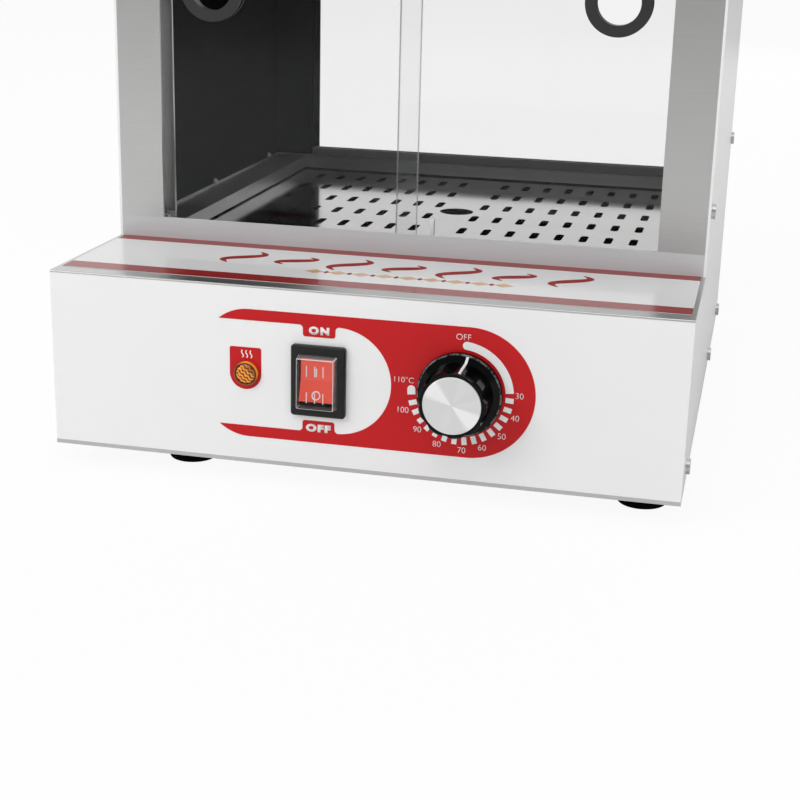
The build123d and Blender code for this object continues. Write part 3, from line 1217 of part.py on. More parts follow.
def write_parts():
    """One STEP file per sub-part."""
    os.makedirs("parts", exist_ok=True)
    for name, shape in model().items():
        solids = shape if isinstance(shape, list) else [shape]
        solids = [solid for piece in solids for solid in piece.solids()]
        body = solids[0] if len(solids) == 1 else Compound(children=solids)
        export_step(body, f"parts/{name}.step")


write_parts()
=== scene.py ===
import json
import math

import bmesh
import bpy
from mathutils import Matrix, Vector
from mathutils.bvhtree import BVHTree


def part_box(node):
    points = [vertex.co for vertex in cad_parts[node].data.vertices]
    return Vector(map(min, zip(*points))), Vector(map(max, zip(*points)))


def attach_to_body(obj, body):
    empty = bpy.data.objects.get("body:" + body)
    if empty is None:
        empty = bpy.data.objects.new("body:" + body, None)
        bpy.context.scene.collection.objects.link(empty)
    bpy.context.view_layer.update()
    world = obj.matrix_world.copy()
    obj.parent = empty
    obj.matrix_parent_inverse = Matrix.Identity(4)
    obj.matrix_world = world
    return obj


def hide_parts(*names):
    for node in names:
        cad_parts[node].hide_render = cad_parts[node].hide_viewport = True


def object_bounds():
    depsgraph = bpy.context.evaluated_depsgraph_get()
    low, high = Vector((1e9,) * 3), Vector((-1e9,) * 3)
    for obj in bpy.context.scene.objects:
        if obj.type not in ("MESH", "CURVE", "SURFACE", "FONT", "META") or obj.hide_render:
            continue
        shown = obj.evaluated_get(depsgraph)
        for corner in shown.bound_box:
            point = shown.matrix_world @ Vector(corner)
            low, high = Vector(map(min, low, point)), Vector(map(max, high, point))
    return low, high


# The looks of a countertop hot dog steamer: finishes for every sheet, pane and
# fitting, the printed graphics, the ribs of the switch cover and the lamp's jewel.
# Lengths are written in millimetres and turned into metres by MM.

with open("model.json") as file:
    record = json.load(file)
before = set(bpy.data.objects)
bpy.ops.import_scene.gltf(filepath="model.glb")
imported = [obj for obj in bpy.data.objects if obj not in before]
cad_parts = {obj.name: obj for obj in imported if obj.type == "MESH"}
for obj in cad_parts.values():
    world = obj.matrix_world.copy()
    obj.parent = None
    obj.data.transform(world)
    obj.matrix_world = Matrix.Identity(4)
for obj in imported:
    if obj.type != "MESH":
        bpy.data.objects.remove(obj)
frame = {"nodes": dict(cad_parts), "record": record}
CAD_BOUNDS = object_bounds()
MM = 0.001

# ---- camera ----
EYE = Vector((168.33, -834.55, 259.36)) * MM
TURN_LEFT = 0.223394
LOOK_DOWN = 0.307306
ROLL = 0.0241765
LENS = 71.763
SENSOR = 36.0

# ---- lights: name, place, size and power, in metres and watts ----
LIGHTS = (
    ("key", (-1.3, -1.4, 1.2), 0.8, 13.5),
    ("fill", (1.5, -1.1, 0.6), 1.2, 1.2),
    ("top", (0.0, -1.1, 2.0), 1.5, 13.5),
    ("back", (0.3, 1.9, 1.1), 1.5, 10),
)
FLOOR_REACH = 25.0         # metres each way
FLOOR_GLOW = 0.93          # share of the floor seen as plain white

# ---- printed graphics on the control panel ----
INK = 0.03                 # height of printed ink
DIAL_INNER = 20.1
DIAL_OUTER = 23.7
ARC_START = 84.2           # middle of the arc's rounded end, degrees from +X towards +Z
ARC_END = 5.0
BLOCK_FIRST = -3.5
BLOCK_STEP = -11.46
BLOCK_COUNT = 15
BLOCK_WIDTH = 2.3
LAST_BLOCK_START = -173.6
LAST_BLOCK_END = -179.8
NUMBER_RADIUS = 26.2
NUMBER_FIRST = 2.6         # angle of the first number
NUMBER_HEIGHT = 2.65
NUMBER_COUNT = 8
NUMBER_VALUE = 30          # what the first number says
NUMBER_RISE = 10           # from each number to the next
END_LABELS = [("110°C", 171.0, 25.6), ("OFF", 88.4, 25.6)]   # text, angle and radius
NUMBER_WEIGHT = -0.012     # thinner than the font's own strokes
NUMBER_NUDGES = {"70": (1.0, 0.1), "100": (-1.1, 0.0), "90": (-0.3, 0.2)}
WORD_HEIGHT = 3.7
WORD_WEIGHT = 0.07
WORD_SHIFT = -0.1          # across from the switch's middle
ON_WIDTH = 9.4
OFF_WIDTH = 11.6
ON_SPACING = 1.3
OFF_SPACING = 1.2
ON_RISE = 22.9             # middle of the word above the switch
OFF_DROP = 22.4
HEAT_RISE = 8.8            # middle of the heat waves above the lamp
HEAT_WAVE_HEIGHT = 3.4
HEAT_WAVE_PITCH = 2.0
HEAT_WAVE_STROKE = 0.5
HEAT_WAVE_SWAY = 0.42

# ---- printed graphics on the ledge, measured back from the front face ----
STRIPE_FRONT = (9.3, 20.6)
STRIPE_REAR = (73.7, 82.8)
SCROLL_MIDDLE = 53.5
SCROLL_SHIFT = 8           # right of the object's middle
SCROLL_COUNT = 7
SCROLL_PITCH = 26.0
SCROLL_REACHES = (12.5, 8.5)    # half lengths of the long and the short waves
SCROLL_SWAY = 5.5
SCROLL_LEAN = 9
STROKE_TIP = 1.0           # width of a stroke at its ends, and what it gains in its middle
STROKE_SWELL = 5.0
LOZENGE_MIDDLE = 35.5
LOZENGE_SHIFT = 14
LOZENGE_COUNT = 9
LOZENGE_PITCH = 11.0
LOZENGE_HALF = (4.8, 3.6)  # half width and height
DOT_HALF = (1.5, 2.4)

# ---- switch marks ----
MARK_STROKE = 0.55
MARK_HEIGHT = 3.8
MARK_RING = 1.75
MARK_PLACES = {"I": (-0.5, 4.3), "O": (0.0, -5.6)}   # across and above the middle
COVER_RIB_PITCH = 3.8
COVER_RIB_LENGTH = 4.8
COVER_RIB_WIDTH = 0.5
COVER_RIB_RISES = (6.0, -6.2)   # middles of the two rows above the switch
COVER_SHEET = 0.6

# ---- sheet metal ----
GRAIN_SIZE = 0.35
GRAIN_STRETCH = 60         # length of the grain's marks over their width
CLOUD_SIZE = 45
GLOSS_SWING = 0.06         # how much the marks change the roughness

# ---- knob ----
KNOB_LINE = 0.7            # width of the painted highlight line on the skirt's edge
CAP_WEDGE_COSINE = 0.342   # cosine of twice the angle of the cap's painted highlight wedges
CAP_WEDGE_SINE = -1.88     # twice the sine of it

# ---- inner walls ----
WALL_SHADE_REACH = 200.0   # the painted shade on the walls deepens over this depth
WALL_FLANGE_RISE = 1.1     # top of the painted highlight band, above the wall's foot

# ---- lamp jewel ----
JEWEL_PITCH = 1.7          # between the wavy ridges
JEWEL_SWAY = 0.3
JEWEL_WAVE = 2.4
JEWEL_ACROSS = (0.62, 0.78)    # direction across the ridges
JEWEL_DOME = 0.82          # share of the radius inside the rim
JEWEL_RINGS = 30
JEWEL_SPOKES = 84
JEWEL_SHOULDER = 0.5       # heights are shares of the lens's depth
JEWEL_RIM = 0.22
JEWEL_CROWN = 0.38
JEWEL_RIDGE = 0.05
JEWEL_TIP = 0.95


# ======================= shader and node arithmetic =======================

class Signal:
    """An output socket of a node tree. Arithmetic on it adds Math nodes."""

    def __init__(self, tree, socket=None):
        self.tree = tree
        self.socket = socket

    def node(self, kind, settings=None, sockets=None, output=0):
        """Add any node: its settings first, then the values or links of its sockets."""
        made = self.tree.nodes.new(kind)
        for name, value in (settings or {}).items():
            if name == "stops":
                place_stops(made.color_ramp, value)
            else:
                setattr(made, name, value)
        for name, value in (sockets or {}).items():
            if isinstance(value, Signal):
                self.tree.links.new(value.socket, made.inputs[name])
            else:
                made.inputs[name].default_value = value
        return Signal(self.tree, made.outputs[output] if made.outputs else None)

    def maths(self, operation, *values):
        return self.node("ShaderNodeMath", {"operation": operation}, dict(enumerate(values)))

    def __add__(self, other):
        return self.maths("ADD", self, other)

    def __radd__(self, other):
        return self.maths("ADD", other, self)

    def __sub__(self, other):
        return self.maths("SUBTRACT", self, other)

    def __rsub__(self, other):
        return self.maths("SUBTRACT", other, self)

    def __mul__(self, other):
        return self.maths("MULTIPLY", self, other)

    def __rmul__(self, other):
        return self.maths("MULTIPLY", other, self)

    def __truediv__(self, other):
        return self.maths("DIVIDE", self, other)

    def between(self, low, high):
        """0 below low, 1 above high, smooth in between."""
        return self.node(
            "ShaderNodeMapRange", {"interpolation_type": "SMOOTHSTEP"},
            {"Value": self, "From Min": low, "From Max": high},
        )

    def mix(self, first, second):
        """A colour mixed from first to second by this value."""
        return self.node("ShaderNodeMix", {"data_type": "RGBA"}, {0: self, 6: first, 7: second}, 2)


def place_stops(ramp, stops):
    """Set a colour ramp's stops from (place, grey) pairs."""
    while len(ramp.elements) < len(stops):
        ramp.elements.new(0.5)
    for element, (place, grey) in zip(ramp.elements, stops):
        element.position = place
        element.color = (grey, grey, grey, 1)


def rgb(red, green, blue):
    return (red, green, blue, 1.0)


def shade(colour, factor):
    """The same colour, darker or lighter."""
    return (colour[0] * factor, colour[1] * factor, colour[2] * factor, 1.0)


def new_finish(name):
    """An empty material and a Signal that adds nodes to it."""
    material = bpy.data.materials.new(name)
    material.use_nodes = True
    material.node_tree.nodes.clear()
    return material, Signal(material.node_tree)


def place_in(tree, part=0):
    """Object coordinates in millimetres: the whole vector, or X, Y or Z of it."""
    spot = tree.node("ShaderNodeTexCoord", output=3)
    scaled = tree.node("ShaderNodeVectorMath", {"operation": "SCALE"}, {0: spot, "Scale": 1 / MM})
    if part == 0:
        return scaled
    return tree.node("ShaderNodeSeparateXYZ", None, {0: scaled}, "XYZ".index(part))


def noise(tree, size, detail=2.0, stretch=(1, 1, 1), rough=0.5):
    """Noise of a size in millimetres, stretched along the axes."""
    scale = tuple(1 / (size * s) for s in stretch)
    spot = tree.node("ShaderNodeMapping", None, {"Vector": place_in(tree), "Scale": scale})
    return tree.node(
        "ShaderNodeTexNoise", None,
        {"Vector": spot, "Scale": 1.0, "Detail": detail, "Roughness": rough},
    )


def bump(tree, height, depth, strength=1.0, under=None):
    """A bump whose full height is depth millimetres."""
    sockets = {"Height": height, "Distance": depth * MM, "Strength": strength}
    if under is not None:
        sockets["Normal"] = under
    return tree.node("ShaderNodeBump", None, sockets)


def finish_surface(material, tree, colour, roughness, normal=None, metallic=0.0, **constants):
    """Close a material with one Principled shader."""
    sockets = {"Base Color": colour, "Roughness": roughness, "Metallic": metallic}
    if normal is not None:
        sockets["Normal"] = normal
    for name, value in constants.items():
        sockets[name.replace("_", " ")] = value
    shader = tree.node("ShaderNodeBsdfPrincipled", None, sockets)
    tree.node("ShaderNodeOutputMaterial", None, {"Surface": shader})
    return material


# ======================= finishes =======================

def painted(name, colour):
    """Powder coat: fine orange peel, slightly uneven gloss and tone."""
    material, tree = new_finish(name)
    tone = noise(tree, 60, 3).mix(shade(colour, 0.985), shade(colour, 1.015))
    peel = noise(tree, 0.9, 2)
    gloss = 0.32 + noise(tree, 25, 3) * 0.08
    return finish_surface(
        material, tree, tone, gloss, bump(tree, peel, 0.02, 0.5),
        IOR=1.5, Coat_Weight=0.25, Coat_Roughness=0.12,
    )


def sheet_marks(tree, along):
    """The fine grain of a sheet along one axis, broad clouds, and both mixed."""
    stretch = tuple(GRAIN_STRETCH if axis == along else 1 for axis in "XYZ")
    grain = noise(tree, GRAIN_SIZE, 3, stretch)
    cloud = noise(tree, CLOUD_SIZE, 3)
    return grain, cloud, grain * 0.6 + cloud * 0.4


def brushed(name, colour, along, roughness, metallic=1.0, **constants):
    """Satin sheet metal, its grain running along one axis."""
    material, tree = new_finish(name)
    grain, cloud, marks = sheet_marks(tree, along)
    tone = marks.mix(shade(colour, 0.9), shade(colour, 1.08))
    gloss = roughness - GLOSS_SWING + grain * GLOSS_SWING + cloud * GLOSS_SWING
    relief = bump(tree, grain, 0.002, 0.6)
    return finish_surface(material, tree, tone, gloss, relief, metallic, **constants)


def wall_sheet(name, colour, foot, rear):
    """Dull wall sheet with painted shade that deepens towards the rear, and a painted highlight on its
    narrow foot flange.
    """
    material, tree = new_finish(name)
    grain, cloud, marks = sheet_marks(tree, "Z")
    # Painted shade: the sheet's colour darkens towards the rear over WALL_SHADE_REACH.
    depth = place_in(tree, "Y").between(rear - WALL_SHADE_REACH, rear)
    sheet = depth.mix(shade(colour, 1.2), shade(colour, 0.5))
    flange_top = foot + WALL_FLANGE_RISE
    # Painted highlight: the narrow band at the wall's foot is painted pale grey, standing in for the
    # light caught along the fold.
    flange = 1 - place_in(tree, "Z").between(flange_top, flange_top + 0.3)
    tone = flange.mix(marks.mix(sheet, colour), rgb(0.5, 0.5, 0.5))
    gloss = 0.28 + grain * GLOSS_SWING + cloud * GLOSS_SWING
    relief = bump(tree, grain, 0.001, 0.2)
    return finish_surface(material, tree, tone, gloss, relief, 1.0, Specular_Tint=rgb(0.2, 0.2, 0.2))


def polished(name, colour, roughness):
    """Bright rolled sheet with faint wipe marks."""
    material, tree = new_finish(name)
    wipe = noise(tree, 3, 4, (9, 1, 1), 0.6)
    cloud = noise(tree, 70, 2)
    tone = cloud.mix(shade(colour, 0.96), shade(colour, 1.02))
    gloss = roughness + wipe * 0.07 + cloud * 0.04
    return finish_surface(material, tree, tone, gloss, bump(tree, cloud, 0.35, 0.35), 1.0)


def plated(name, colour, roughness=0.3):
    """Zinc plate or bare turned metal."""
    material, tree = new_finish(name)
    speck = noise(tree, 1.2, 4)
    tone = speck.mix(shade(colour, 0.85), shade(colour, 1.1))
    return finish_surface(
        material, tree, tone, roughness - 0.06 + speck * 0.14, bump(tree, speck, 0.015, 0.6), 1.0,
    )


def moulded(name, colour, roughness, texture=0.8, depth=0.03, **constants):
    """Moulded plastic or rubber with a fine texture."""
    material, tree = new_finish(name)
    skin = noise(tree, texture, 3)
    cloud = noise(tree, 12, 2)
    tone = cloud.mix(shade(colour, 0.88), shade(colour, 1.12))
    gloss = roughness - 0.05 + cloud * 0.1
    return finish_surface(material, tree, tone, gloss, bump(tree, skin, depth, 0.5), **constants)


def printed(name, colour, roughness=0.4, **constants):
    """Screen-printed ink or vinyl film."""
    material, tree = new_finish(name)
    fleck = noise(tree, 0.5, 3)
    cloud = noise(tree, 30, 2)
    tone = (fleck * 0.5 + cloud * 0.5).mix(shade(colour, 0.93), shade(colour, 1.06))
    gloss = roughness - 0.04 + fleck * 0.08
    return finish_surface(material, tree, tone, gloss, bump(tree, fleck, 0.006, 0.4), **constants)


def spun(name, colour, centre):
    """Turned face of a knob cap: fine rings about an axis along Y, with two painted highlight wedges
    fixed to the cap.
    """
    material, tree = new_finish(name)
    spot = tree.node(
        "ShaderNodeMapping", None,
        {"Vector": place_in(tree), "Location": (-centre[0], 0, -centre[1]), "Scale": (1, 0, 1)},
    )
    reach = tree.node("ShaderNodeVectorMath", {"operation": "LENGTH"}, {0: spot}, 1)
    rings = tree.node(
        "ShaderNodeTexNoise", {"noise_dimensions": "1D"}, {"W": reach, "Scale": 3.5, "Detail": 4.0},
    )
    way = tree.node("ShaderNodeVectorMath", {"operation": "NORMALIZE"}, {0: spot})
    across, up = (tree.node("ShaderNodeSeparateXYZ", None, {0: way}, i) for i in (0, 2))
    fan = tree.node("ShaderNodeTexNoise", None, {"Vector": way, "Scale": 1.4, "Detail": 1.0})
    # Painted highlight: two opposite bright wedges fixed to the cap, as a spun face shows under the
    # lamps; the rings and noise add real tone.
    turned = (across * across - up * up) * CAP_WEDGE_COSINE + across * up * CAP_WEDGE_SINE
    wedge_highlight = (turned + fan * 0.3).between(0.75, 1.1)
    rings_and_painted_sheen = wedge_highlight * 0.75 + fan.between(0.3, 0.7) * 0.15 + rings * 0.1
    tone = rings_and_painted_sheen.mix(shade(colour, 0.87), shade(colour, 1.2))
    return finish_surface(material, tree, tone, 0.42 + rings * 0.06, bump(tree, rings, 0.01, 0.5), 0.75)


def knob_gloss(name, centre, radius):
    """Polished black plastic with faint moulding ripples and a painted highlight: a pale broken line
    just inside the skirt's edge.
    """
    material, tree = new_finish(name)
    skin = noise(tree, 3, 3)
    highlight_breaks = noise(tree, 2.2, 3)
    x = place_in(tree, "X") - centre[0]
    z = place_in(tree, "Z") - centre[1]
    spread = x * x + z * z
    reach = radius - spread.maths("SQRT", spread)
    # Painted highlight: a pale line just inside the skirt's edge, broken up by noise, stands in for the
    # light the rim catches.
    line = reach.between(0.1, 0.25) * (1 - reach.between(KNOB_LINE, KNOB_LINE + 0.2))
    tone = (line * highlight_breaks.between(0.35, 0.6)).mix(rgb(0.002, 0.002, 0.002), rgb(0.16, 0.16, 0.16))
    return finish_surface(
        material, tree, tone, 0.1 + skin * 0.04, bump(tree, skin, 0.05, 0.5),
        Coat_Weight=0.16, Coat_Roughness=0.03, Specular_IOR_Level=0.06,
    )


def clear_sheet(name, tint, edge_tint, gloss, rounded=0.0):
    """A clear pane: faces seen through with a soft reflection, cut edges frosted and tinted; on a
    rounded pane its corners and side walls take that pale cut look as painted highlight.

    rounded is how much of the look of a cut edge its side walls and rounded corners have.
    """
    material, tree = new_finish(name)
    facing = tree.node("ShaderNodeTexCoord", output=1)
    parts = [tree.node("ShaderNodeSeparateXYZ", None, {0: facing}, i) for i in range(3)]
    x, y, z = (part.maths("ABSOLUTE", part) for part in parts)
    if rounded:
        # Painted highlight: the rounded corners and the side walls take the pale cut finish.
        longest = x.maths("MAXIMUM", x, y.maths("MAXIMUM", y, z))
        edge = (1 - longest.between(0.8, 0.995)) * 0.75 + (1 - y.between(0.3, 0.8)) * rounded
    else:
        edge = (1 - y.between(0.3, 0.8)) * 0.75
    smear = noise(tree, 40, 4, (1, 1, 2.5), 0.6)
    see = tree.node("ShaderNodeBsdfTransparent", None, {"Color": tint})
    shine = tree.node("ShaderNodeBsdfPrincipled", None, {
        "Base Color": rgb(0.9, 0.92, 0.92), "Metallic": 1.0, "Roughness": 0.02 + smear * 0.02,
    })
    cut = tree.node("ShaderNodeBsdfPrincipled", None, {
        "Base Color": smear.mix(edge_tint, shade(edge_tint, 1.2)), "Roughness": 0.3 + smear * 0.1,
        "Coat Weight": 0.6,
    })
    mirror = tree.node("ShaderNodeFresnel", None, {"IOR": 1.45})
    pane = tree.node("ShaderNodeMixShader", None, {0: mirror * (gloss + smear * 0.1), 1: see, 2: shine})
    both = tree.node("ShaderNodeMixShader", None, {0: edge, 1: pane, 2: cut})
    tree.node("ShaderNodeOutputMaterial", None, {"Surface": both})
    return material


def amber_glass(name, middle, radius):
    """Deep amber plastic with painted light: a plain rim painted lighter on one side, painted shade in
    the groove inside it, painted highlights on the crowns of the waves and painted shade over one side
    of the dome.
    """
    material, tree = new_finish(name)
    blotch = noise(tree, 1.5, 3)
    x = place_in(tree, "X") - middle[0]
    z = place_in(tree, "Z") - middle[1]
    spread = x * x + z * z
    reach = spread.maths("SQRT", spread) / radius
    down = x * JEWEL_ACROSS[0] + z * JEWEL_ACROSS[1]
    along = (x * JEWEL_ACROSS[1] - z * JEWEL_ACROSS[0]) * (2 * math.pi / JEWEL_WAVE)
    level = (down + along.maths("SINE", along) * JEWEL_SWAY) * (2 * math.pi / JEWEL_PITCH)
    # Painted highlights on the crowns of the waves, deep amber between them.
    crown_highlight = (level.maths("COSINE", level) * 0.5 + blotch * 1.7 - 0.42).between(-0.1, 0.8)
    waves = crown_highlight.mix(rgb(0.13, 0.02, 0.001), rgb(0.95, 0.33, 0.02))
    # Painted shade over one side of the dome.
    painted_shadow = (z * 0.6 + x * 0.55 + blotch * 2.5).between(2.0, 4.6) * 0.75
    inside = painted_shadow.mix(waves, rgb(0.16, 0.03, 0.004))
    # The rim is painted lighter on one side, as if lit there, and darker on the other.
    lit_side = (z * 0.8 + x * 0.6 + blotch * 2).between(1.5, 5.5)
    rim = lit_side.mix(rgb(0.28, 0.05, 0.004), rgb(0.9, 0.26, 0.01))
    # Painted shade in the groove between the dome and the rim.
    groove = reach.between(JEWEL_DOME - 0.1, JEWEL_DOME - 0.02).mix(inside, rgb(0.05, 0.008, 0.001))
    tone = reach.between(JEWEL_DOME + 0.02, JEWEL_DOME + 0.08).mix(groove, rim)
    return finish_surface(
        material, tree, tone, 0.1 + blotch * 0.08, bump(tree, blotch, 0.04, 0.4),
        Coat_Weight=0.5, Coat_Roughness=0.03, Specular_IOR_Level=0.3,
    )


WHITE = rgb(0.86, 0.86, 0.86)
STEEL = rgb(0.56, 0.56, 0.555)
RED = rgb(0.54, 0.007, 0.01)


def make_finishes():
    """One finish for each material slot of the record."""
    knob = centre_of("knob_cap") / MM
    knob_radius = (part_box("knob_body")[1].x / MM) - knob.x
    lamp = centre_of("lamp_lens") / MM
    lamp_radius = (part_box("lamp_lens")[1].x / MM) - lamp.x
    film = {"Coat_Weight": 0.4, "Coat_Roughness": 0.06, "Specular_IOR_Level": 0.25}
    wall_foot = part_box("left_inner_wall")[0].z / MM
    well_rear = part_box("well_deck")[1].y / MM
    return {
        "white_paint": painted("white_powder_coat", WHITE),
        "stainless": brushed("satin_stainless", STEEL, "X", 0.3),
        "polished_stainless": polished("bright_stainless", rgb(0.46, 0.46, 0.455), 0.06),
        "track_metal": brushed(
            "satin_grey_track", rgb(0.55, 0.56, 0.57), "X", 0.5, metallic=0.0, Specular_IOR_Level=0.15,
        ),
        # The inner walls, rear posts and ceiling carry painted shade that darkens them towards the rear.
        "inner_wall_steel": wall_sheet("painted_shade_wall_steel", rgb(0.04, 0.04, 0.04), wall_foot, well_rear),
        "well_steel": brushed("well_steel", rgb(0.36, 0.36, 0.36), "Y", 0.3, metallic=0.7),
        # The tank's near-black colour is painted shade: it stands in for the dark inside of the tank
        # seen through the tray's holes.
        "tank_steel": brushed(
            "shade_dark_tank_steel", rgb(0.03, 0.03, 0.029), "X", 0.45, Specular_Tint=rgb(0.2, 0.2, 0.2),
        ),
        "zinc_steel": plated("zinc_plate", rgb(0.6, 0.6, 0.61)),
        "black_rubber": moulded(
            "black_rubber", rgb(0.003, 0.003, 0.003), 0.75, 0.7, 0.06, Specular_IOR_Level=0.06,
        ),
        "red_print": printed("red_film", RED, 0.42, Specular_IOR_Level=0.25),
        "ledge_red": printed(
            "dark_red_gloss_film", rgb(0.27, 0.004, 0.003), 0.3,
            Coat_Weight=0.3, Coat_Roughness=0.06, Specular_IOR_Level=0.2,
        ),
        "scroll_red": printed("dark_red_film", rgb(0.3, 0.006, 0.004), 0.4, Specular_IOR_Level=0.06),
        "ledge_tan": printed("tan_gloss_film", rgb(0.62, 0.33, 0.12), 0.3, **film),
        "ledge_print": printed("pale_gloss_film", rgb(0.8, 0.8, 0.8), 0.3, **film),
        "black_plastic": moulded(
            "black_plastic", rgb(0.007, 0.007, 0.007), 0.42, 0.6, 0.04, Specular_IOR_Level=0.35,
        ),
        "gloss_black": knob_gloss("gloss_black", (knob.x, knob.z), knob_radius),
        "red_rocker": moulded("red_rocker", rgb(0.93, 0.09, 0.05), 0.3, 2.0, 0.01, Coat_Weight=0.5),
        # The switch cover's pale corners and side walls are painted highlight.
        "clear_cover": clear_sheet(
            "clear_cover", rgb(0.985, 0.985, 0.985), rgb(0.75, 0.75, 0.75), 0.25, 0.12,
        ),
        # The ribs would be clear; their pale colour is painted highlight where they catch the light.
        "cover_rib": moulded("pale_highlight_rib", rgb(0.85, 0.8, 0.78), 0.3),
        "amber_lens": amber_glass("amber_lens", (lamp.x, lamp.z), lamp_radius),
        "spun_aluminium": spun("spun_aluminium", rgb(0.86, 0.86, 0.86), (knob.x, knob.z)),
        "white_ink": printed("white_ink", rgb(0.85, 0.85, 0.85), 0.45),
        "shaft_steel": plated("bright_wire", rgb(0.62, 0.62, 0.62), 0.22),
        "thermostat_case": moulded("cream_resin", rgb(0.5, 0.45, 0.33), 0.45),
        "copper": plated("copper", rgb(0.62, 0.28, 0.16), 0.3),
        "heater_sheath": plated("dull_sheath", rgb(0.3, 0.3, 0.29), 0.5),
        "cutout_case": moulded("cream_ceramic", rgb(0.72, 0.68, 0.6), 0.4),
        "terminal_plastic": moulded("terminal_plastic", rgb(0.72, 0.7, 0.64), 0.4),
        "brass": plated("brass", rgb(0.66, 0.46, 0.17), 0.25),
        "red_vinyl": moulded("red_vinyl", rgb(0.5, 0.03, 0.02), 0.35, 1.2, 0.03, Coat_Weight=0.3),
        "clear_glass": clear_sheet("clear_glass", rgb(0.97, 0.97, 0.97), rgb(0.5, 0.52, 0.51), 0.3),
        "grey_trim": moulded("grey_trim", rgb(0.2, 0.2, 0.2), 0.6),
        "pull_plastic": moulded("pull_plastic", rgb(0.02, 0.02, 0.02), 0.35),
        "clear_nylon": moulded("clear_nylon", rgb(0.9, 0.9, 0.9), 0.3, Transmission_Weight=0.2),
    }


OWN_FINISH = {
    "left_inner_wall": "inner_wall_steel",
    "right_inner_wall": "inner_wall_steel",
    "rear_posts": "inner_wall_steel",
    "ceiling_panel": "inner_wall_steel",
    "well_deck": "well_steel",
    "water_tank": "tank_steel",
}


def dress_nodes(finishes):
    """Give every carried-over node its own finish, or else the finish of its slot."""
    for part in frame["record"]["subparts"]:
        finish = OWN_FINISH.get(part["node"], part["material_slot"])
        for place in frame["nodes"][part["node"]].material_slots:
            place.material = finishes[finish]


# ======================= making pieces =======================

def add_piece(name, mesh, finish, body):
    """Turn a mesh that is already in place into a piece of the object."""
    mesh.name = name
    mesh.materials.clear()
    mesh.materials.append(finish)
    piece = bpy.data.objects.new(name, mesh)
    bpy.context.scene.collection.objects.link(piece)
    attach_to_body(piece, body)
    return piece


def mesh_of(data, modifier=None):
    """The plain mesh that a curve, text or modified object gives."""
    maker = bpy.data.objects.new("maker", data)
    bpy.context.scene.collection.objects.link(maker)
    if modifier:
        modifier(maker)
    bpy.context.view_layer.update()
    graph = bpy.context.evaluated_depsgraph_get()
    mesh = bpy.data.meshes.new_from_object(maker.evaluated_get(graph), depsgraph=graph)
    bpy.data.objects.remove(maker)
    return mesh


def flat_shape(outlines):
    """A thin printed shape from closed outlines in millimetres; an inner outline is a hole."""
    curve = bpy.data.curves.new("outline", "CURVE")
    curve.dimensions = "2D"
    curve.fill_mode = "BOTH"
    curve.extrude = INK * MM
    for outline in outlines:
        line = curve.splines.new("POLY")
        line.points.add(len(outline) - 1)
        for point, (x, y) in zip(line.points, outline):
            point.co = (x * MM, y * MM, 0, 1)
        line.use_cyclic_u = True
    return mesh_of(curve)


def word(text, height, width=None, weight=0.0, spacing=1.0):
    """Printed letters of a height in millimetres, squeezed to a width where one is given."""
    letters = bpy.data.curves.new("word", "FONT")
    letters.body = text
    letters.size = 1.0
    letters.offset = weight
    letters.space_character = spacing
    letters.fill_mode = "BOTH"
    mesh = mesh_of(letters)
    low = [min(v.co[i] for v in mesh.vertices) for i in (0, 1)]
    high = [max(v.co[i] for v in mesh.vertices) for i in (0, 1)]
    scale_y = height * MM / (high[1] - low[1])
    scale_x = width * MM / (high[0] - low[0]) if width else scale_y
    middle = Vector(((low[0] + high[0]) / 2, (low[1] + high[1]) / 2, 0))
    mesh.transform(Matrix.Diagonal((scale_x, scale_y, 1, 1)) @ Matrix.Translation(-middle))
    thicken(mesh, INK * MM)
    return mesh


def thicken(mesh, half):
    """Give a flat sheet of faces a thickness either side of its plane."""
    shape = bmesh.new()
    shape.from_mesh(mesh)
    bmesh.ops.remove_doubles(shape, verts=shape.verts, dist=1e-7)
    bmesh.ops.translate(shape, vec=(0, 0, -half), verts=shape.verts)
    grown = bmesh.ops.extrude_face_region(shape, geom=list(shape.faces))
    tops = [v for v in grown["geom"] if isinstance(v, bmesh.types.BMVert)]
    bmesh.ops.translate(shape, vec=(0, 0, 2 * half), verts=tops)
    bmesh.ops.recalc_face_normals(shape, faces=shape.faces)
    shape.to_mesh(mesh)
    shape.free()


def join(meshes):
    """One mesh from several."""
    shape = bmesh.new()
    for mesh in meshes:
        shape.from_mesh(mesh)
    joined = bpy.data.meshes.new("joined")
    shape.to_mesh(joined)
    shape.free()
    return joined


def on_front(mesh, x, z, face):
    """Stand a flat mesh on a face that looks towards -Y. Places in metres."""
    mesh.transform(Matrix.Translation((x, face, z)) @ Matrix.Rotation(math.pi / 2, 4, "X"))
    return mesh


def settle_on(mesh, node, plane):
    """Press a mesh that stands on a plane of constant Y onto the surface of a node behind it."""
    graph = bpy.context.evaluated_depsgraph_get()
    surface = BVHTree.FromObject(frame["nodes"][node], graph)
    for vertex in mesh.vertices:
        start = Vector((vertex.co.x, plane - 0.05, vertex.co.z))
        hit = surface.ray_cast(start, Vector((0, 1, 0)))[0]
        if hit is not None:
            vertex.co.y += hit.y - plane
    return mesh


def arc_points(radius, start, end, steps):
    """Points on a circle between two angles in degrees, in millimetres."""
    angles = (math.radians(start + (end - start) * i / steps) for i in range(steps + 1))
    return [(radius * math.cos(a), radius * math.sin(a)) for a in angles]


def centre_of(node):
    low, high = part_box(node)
    return (low + high) / 2


# ======================= dial, words and heat waves =======================

